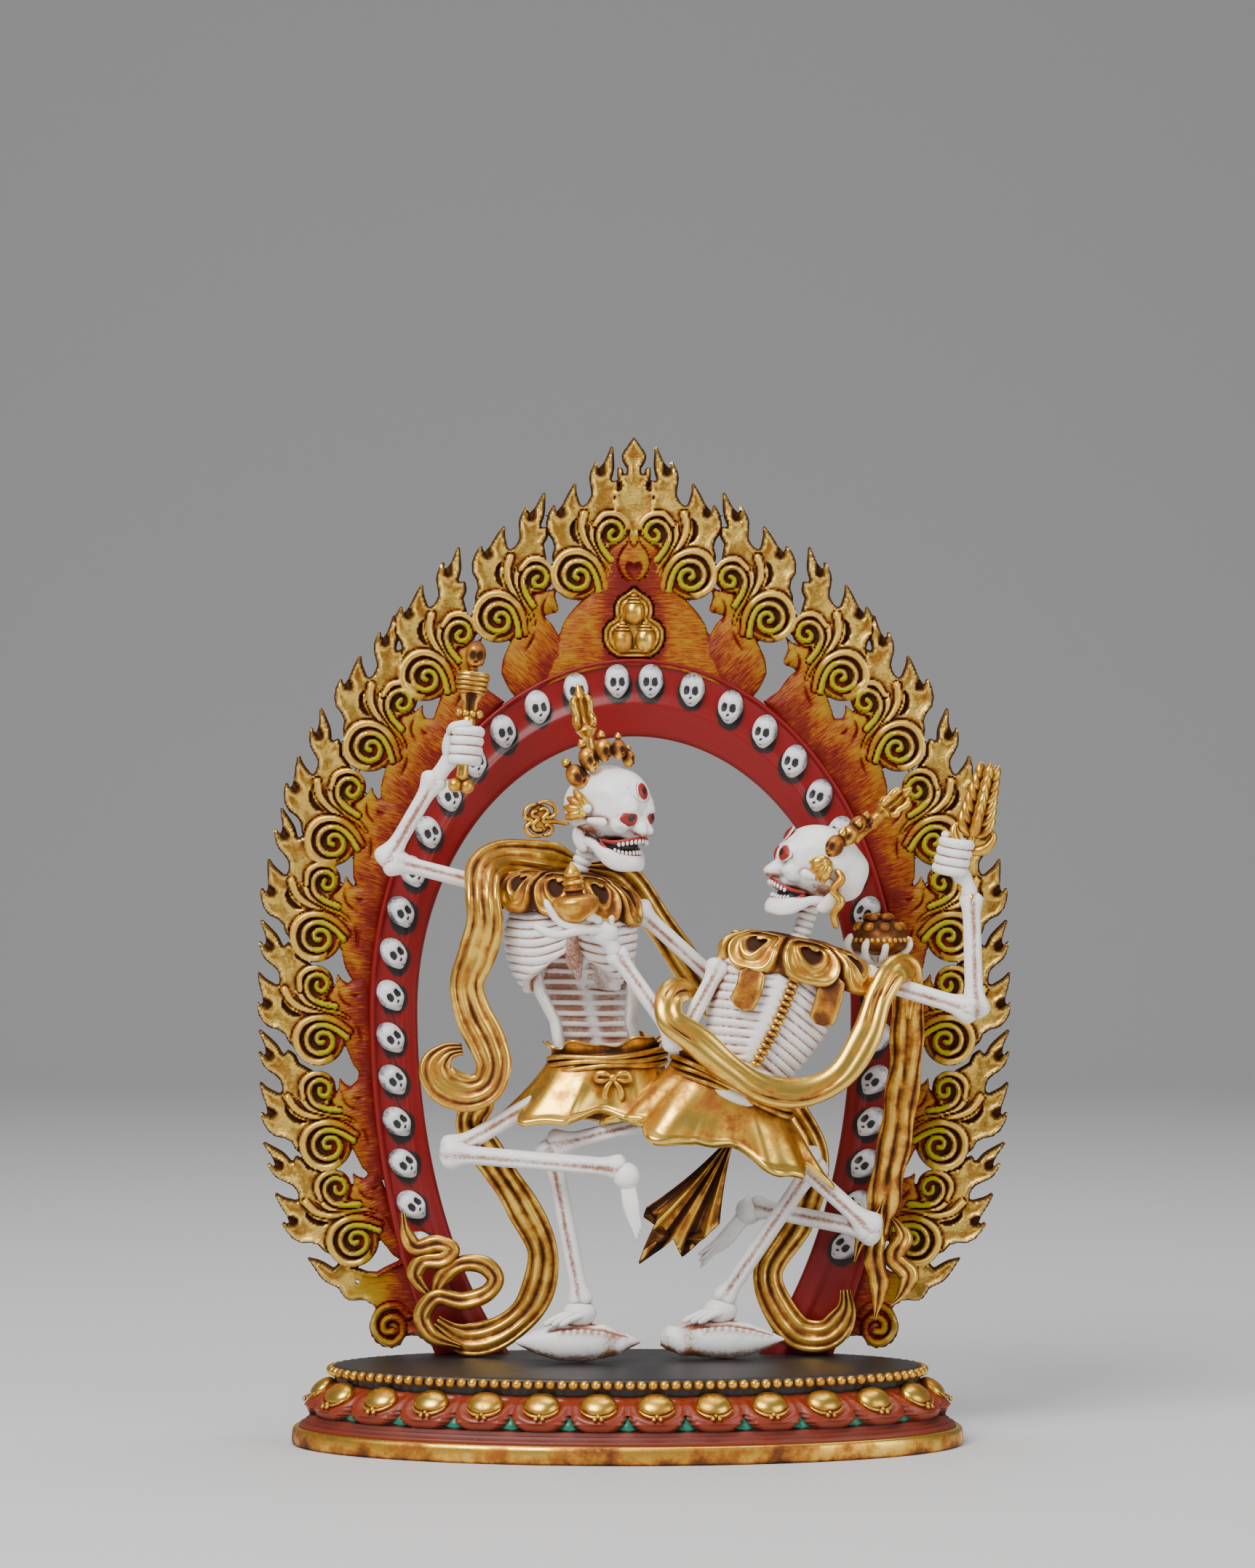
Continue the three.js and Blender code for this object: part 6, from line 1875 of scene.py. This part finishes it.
VERTEBRAE = 15
spine_top, spine_end = arrays((20.3, -6.7, 59.6), (15.4, -6.0, 48.9))
spine_share = np.linspace(0, 1, VERTEBRAE)[:, None]
spine_places = spine_top + spine_share * (spine_end - spine_top)
spine_places[:, 0] += 0.35 * np.sin(spine_share[:, 0] * math.pi)
lean_axis = unit((spine_end - spine_top) * (1, 0, 1))
spine_axes = np.stack([np.array((-lean_axis[2], 0, lean_axis[0])), (0, 1, 0), lean_axis])
spine = copies(ball(size=(0.85, 0.7, 0.42), rows=8, columns=12), spine_places, spine_axes)


def strap(points, width):
    """A flat gilt strap with a raised edge, hanging over the ribs."""
    path = curve(points, 26)
    share = np.linspace(-1, 1, 13)
    edge = bell(np.abs(share) - 0.82, 0.12)
    section = np.r_[share, share[::-1]]
    out = np.r_[0.28 + 0.16 * edge, np.full(13, -0.35)]
    taper = np.sqrt(np.clip(np.minimum(np.linspace(0, 9, 26), np.linspace(9, 0, 26)), 0.15, 1))[:, None]
    stain = np.r_[0.34 - 0.4 * edge, np.full(13, 0.3)]
    return carried(path, width * taper * section, taper * out, stain=stain + 0 * taper)


mother_collar = [((21.0, -1.4, 64.9), 3.6, 2.2, -0.2), ((20.8, -1.5, 64.1), 7.0, 3.4, -0.21),
                 ((20.6, -1.7, 62.6), 9.4, 4.6, -0.21), ((20.2, -1.7, 60.1), 9.6, 5.4, -0.21)]
mother_skirt = [((12.7, -1.6, 46.9), 7.9, 4.1, -0.39), ((12.1, -1.6, 45.2), 8.3, 4.3, -0.38),
                ((11.3, -1.6, 41.8), 10.9, 5.1, -0.31),
                ((10.6, -1.4, 37.9), 14.0, 6.0, -0.27)]
mother_ruffle = [((12.8, -1.6, 46.3), 7.8, 4.0, -0.39), ((12.9, -1.6, 47.2), 7.7, 4.0, -0.39),
                 ((13.2, -1.6, 48.3), 8.4, 4.6, -0.39)]
FAN_PIVOT = (13.2, 40.0)
FAN_HEM = [(-139, 15.4), (-136.5, 16.6), (-133, 14.8), (-131, 16.0), (-126, 21.6), (-122, 18.2),
           (-120, 16.3), (-117, 17.0), (-113, 18.0), (-108, 15.2), (-104, 13.6), (-100, 12.4)]


def fan():
    """The sash's tail: a flat fan round a pivot, in polar steps. Its radius follows the ragged hem, and its
    folds are a wave of the angle that gets deeper towards the hem."""
    start, end = FAN_HEM[0][0], FAN_HEM[-1][0]
    angle = np.linspace(start, end, 90)
    hem_radius = np.interp(angle, *zip(*FAN_HEM))
    out = np.linspace(0.12, 1, 40)[:, None]
    fold = np.sin((angle - start) * 0.52) + 0.4 * np.sin((angle - start) * 1.3)
    depth = 2.3 + 0.55 * fold * (0.25 + 0.75 * out)
    spread = np.radians(angle - (1 - out) * (angle + 116) * 0.35)
    x, z = FAN_PIVOT[0] + out * hem_radius * np.cos(spread), FAN_PIVOT[1] + out * hem_radius * np.sin(spread)
    front = np.stack([x, depth, z], -1)
    rub = bell(out - 0.97, 0.03) + 0 * fold
    stain = 0.26 + 0.42 * eased(fold, -0.1, 0.9) - 0.2 * eased(-fold, 0.2, 1.0) - 0.4 * rub
    both = np.concatenate([front, front[:, ::-1] + (0, 0.7, 0)], 1)
    return surface(both, stain=np.concatenate([stain, 0 * stain + 0.3], 1))


mother_crown = [((25.4, -4.9, 76.4), -40, 15, 22, 1.2), ((27.3, -4.2, 77.8), -20, 12, 32, 1.15),
                ((28.4, -2.9, 79.1), 5, 10, 40, 1.05), ((29.6, -1.5, 79.3), 30, 8, 52, 0.95)]
earring = [tube([(25.6, -5.4, 73.6), (26.3, -5.7, 72.4), (25.2, -5.8, 70.9), (26.2, -5.8, 69.6),
                 (25.3, -5.7, 67.9), (25.7, -5.6, 66.0)],
                (0.4, 0.62, 0.5, 0.62, 0.5, 0.4), 10, 40, flat=1.5)]
temple = [tube([(24.9, -5.5, 74.8), (0.5 * x + 12.2, -6.0, 0.5 * z + 37.2), (x, -5.5, z)],
               (0.35, 0.85, 0.75, 0.1), 10, 18)
          for x, z in [(22.1, 74.5), (22.2, 73.3), (23.0, 72.1), (24.0, 71.6)]]
mother_gilt = [
    cape(mother_collar, lobes=7, relief=0.9, brown=0.06),
    skirt(mother_skirt, 6, wave=0.12, drop=1.1, phase=1.2, brown=0.16),
    ruffle(mother_ruffle, 7, phase=0.3),
    sash((12.4, -1.6, 45.8), 8.25, 4.45, -0.39),
    fan(),
    strap([(15.0, -6.4, 61.0), (14.6, -6.9, 58.6), (13.3, -6.8, 56.0)], 1.7),
    strap([(25.2, -5.8, 60.0), (24.7, -6.3, 57.4), (23.6, -6.1, 53.8)], 1.7),
    spine,
    *[crown_skull(*seat) for seat in mother_crown],
    half_thunderbolt((28.0, -1.0, 77.4), (35.6, -1.0, 84.0)),
    *earring, *temple,
    marked(vase((-7.2, -8.4, 66.9), (-8.0, -8.7, 74.6)), stain=0.1),
    grain((41.6, -1.3, 70.6), (45.6, -1.0, 87.4)),
    tube([(42.2, -1.1, 69.2), (43.0, -1.0, 69.6), (43.8, -1.1, 69.2)], (1.2, 1.45, 1.2), 12, 12),
]
make_piece("mother_gilding", joined(mother_gilt), ["mother_skeleton"], gold_finish)

# %% [markdown]
# ## The scarves
#
# The real scarves are cast rods with folds, bent in wide loops, so they aren't cloth and don't fall like it.
# Each is a flat profile with soft ridges, carried along the same route as its solid in the frame. The ridges
# wander from side to side on the way, as folds do.


# %% A ridged ribbon
SCARF_FACING = (0, -1, 0.25)


def ribbon(route, width, thick=1.25, ridges=3.6, drift=0.12, steps=190, ends=0.35, deep=0.5, brown=0.1,
           sides=56, creases=()):
    """A folded scarf along a route. Across it, the height is a flat oval plus a row of rounded ridges whose
    phase drifts along the length, with a brown wash between them; the ends narrow to a share of the width.
    A crease is a short dark line down the length at (share, place across, half its length)."""
    path = curve(route, steps)
    share = np.linspace(0, 1, steps)[:, None]
    around = circle(sides)
    across = np.sign(np.cos(around)) * np.abs(np.cos(around)) ** 0.8
    out = np.sign(np.sin(around)) * np.abs(np.sin(around)) ** 0.5
    phase = 0.5 + drift * (np.sin(share * 9.0) + 0.6 * np.sin(share * 23.0))
    ridge = np.abs(np.cos(math.pi * (across * ridges / 2 + phase))) ** 0.7
    length = np.linalg.norm(np.diff(path, axis=0), axis=1).sum()
    taper = ends + (1 - ends) * eased(np.minimum(share, 1 - share) * length, 0, 5.0)
    breadth = 0.5 * width * taper * (1 + 0.06 * np.sin(share * 31))
    stain = brown + 0.5 * (1 - eased(ridge, 0.1, 0.6)) * deep / 0.5 - 0.16 * eased(ridge, 0.8, 1.0)
    for middle, place, half in creases:
        mark = bell(share - middle, half, 4) * bell(across - place - 0.8 * (share - middle), 0.07)
        stain, ridge = stain + 0.85 * mark * (out > 0), ridge - 0.8 * mark
    rise = 0.5 * thick * (0.4 + 0.6 * taper) * out + deep * (ridge - 0.6) * np.abs(out) * out
    return carried(path, breadth * across, rise, SCARF_FACING, stain=stain)


over_shoulder = [(-6.2, 6.6, 73.6), (-12.0, 5.6, 74.8), (-16.8, 3.0, 75.0), (-19.2, -1.4, 73.2),
                 (-19.3, -4.0, 70.2), (-19.0, -4.2, 66.6), (-20.0, -3.4, 62.8), (-21.3, -3, 59.0),
                 (-20.6, -2.6, 55.2), (-18.7, -2.6, 51.3), (-17.9, -2.8, 48.4), (-18.9, -3, 45.8),
                 (-21.4, -3.2, 45), (-24.4, -3.2, 46.3), (-25.2, -3.0, 48.4), (-23.8, -3, 50.2),
                 (-21.9, -3, 50.6)]
left_tail = [(-18.4, -2.6, 47.6), (-20, -1, 43.6), (-20.9, 1.8, 40.4), (-18, 4, 35.4), (-14.4, 5, 29.7),
             (-11.8, 6.2, 23.5), (-13.4, 7, 16.8), (-17.6, 7, 13.2), (-22.1, 7.2, 12.4), (-25.8, 7.0, 14.6)]
right_tail = [(-6.2, 6.6, 73.6), (-1.8, 6.8, 72.6), (3.2, 7.6, 66.3), (8.2, 9.4, 58.9), (14.5, 10, 50.2),
              (20.1, 10, 42.4), (23.4, 9.8, 36), (21.4, 9.6, 27.7), (17.4, 9, 20.8), (18.8, 8.4, 16.2),
              (21.6, 8.2, 13), (25.2, 7.6, 13), (27.4, 7.4, 15.9), (27.4, 7.4, 18.8)]
mother_route = [(8.4, -1.6, 57.4), (6.2, -3.4, 58.2), (4.4, -7, 57), (4.6, -8.4, 54.6), (7.7, -8.6, 52.2),
                (11.8, -8.2, 48.6), (16.4, -7.9, 45.8), (21.5, -7.5, 45.4), (26.1, -6.8, 47.5),
                (29.4, -5.8, 52.4), (31.2, -4.2, 57.4), (33.2, -2.6, 60.4), (35, 0.4, 60.4),
                (35.2, 2.8, 54.2)]
knot_loops = [
    [(-22.5, 5.6, 11.6), (-26.4, 5.8, 13.2), (-27.4, 5.8, 15.6), (-25.6, 5.4, 18.0), (-22.0, 5.0, 17.6),
     (-18.9, 5.0, 18.7), (-17.9, 5.0, 20.4), (-19.2, 5.2, 22.1), (-22.0, 5.4, 22.4), (-24.4, 5.6, 21.1),
     (-25.6, 5.9, 19.0), (-26.0, 6.2, 16.6)],
    [(-25.6, 6.2, 17.6), (-27.4, 6.0, 19.3), (-28.3, 6.0, 20.9), (-27.4, 5.8, 22.5), (-24.6, 5.4, 23.0),
     (-23.6, 5.4, 24.2), (-25.4, 5.6, 24.9), (-28.2, 5.8, 24.4), (-29.4, 5.8, 26.2), (-29.9, 5.8, 28.9)],
]
father_scarf = joined([
    ribbon(over_shoulder, 4.7, drift=0.1, brown=0.06),
    ribbon(left_tail, 4.2, 1.2, 3.0, 0.05, ends=0.5, brown=0.12),
    ribbon(right_tail, 4.1, 1.2, 3.0, 0.05, brown=0.12),
    *[ribbon(loop, 2.3, 1.1, 2.0, 0.05, 120, ends=0.3, brown=0.16, sides=36) for loop in knot_loops],
])
make_piece("father_scarf_folds", father_scarf, ["father_scarf"], scarf_gold)
scarf_ends = [
    [(32.2, 4.4, 31.0), (31.0, 4.0, 27.5), (29.2, 3.6, 25.4), (28.4, 3.4, 22.8)],
    [(32.4, 4.6, 29.0), (31.0, 4.2, 24.0), (31.6, 4.0, 19.6), (31.0, 3.8, 15.2)],
    [(32.8, 4.8, 29.0), (34.8, 4.6, 26.0), (33.6, 4.4, 23.4), (35.4, 4.4, 21.0), (34.4, 4.4, 18.4),
     (33.0, 4.4, 17.0)],
]
hanging = [(35, 0.4, 60.4), (35.2, 2.8, 54.2), (34.8, 3.6, 46.7), (33.6, 3.8, 38.4), (32.4, 4.6, 31.8),
           (31.8, 5.2, 26.1)]
MOTHER_CREASES = [(0.08, -0.3, 0.035), (0.1, 0.25, 0.03), (0.2, 0.3, 0.03), (0.74, -0.35, 0.04),
                  (0.76, 0.05, 0.05), (0.79, 0.4, 0.035), (0.45, 0.55, 0.07)]
mother_scarf = joined([
    ribbon(mother_route, 3.7, 1.9, 1.6, 0.2, deep=0.2, brown=-0.06, creases=MOTHER_CREASES),
    ribbon(hanging, 4.3, 1.3, 2.6, 0.12, 110, ends=0.7, brown=0.18),
    *[ribbon(line, 2.7, 1.2, 2.0, 0.05, 60, ends=0.12, brown=0.14, sides=36) for line in scarf_ends],
])
make_piece("mother_scarf_folds", mother_scarf, ["mother_scarf"], scarf_gold)
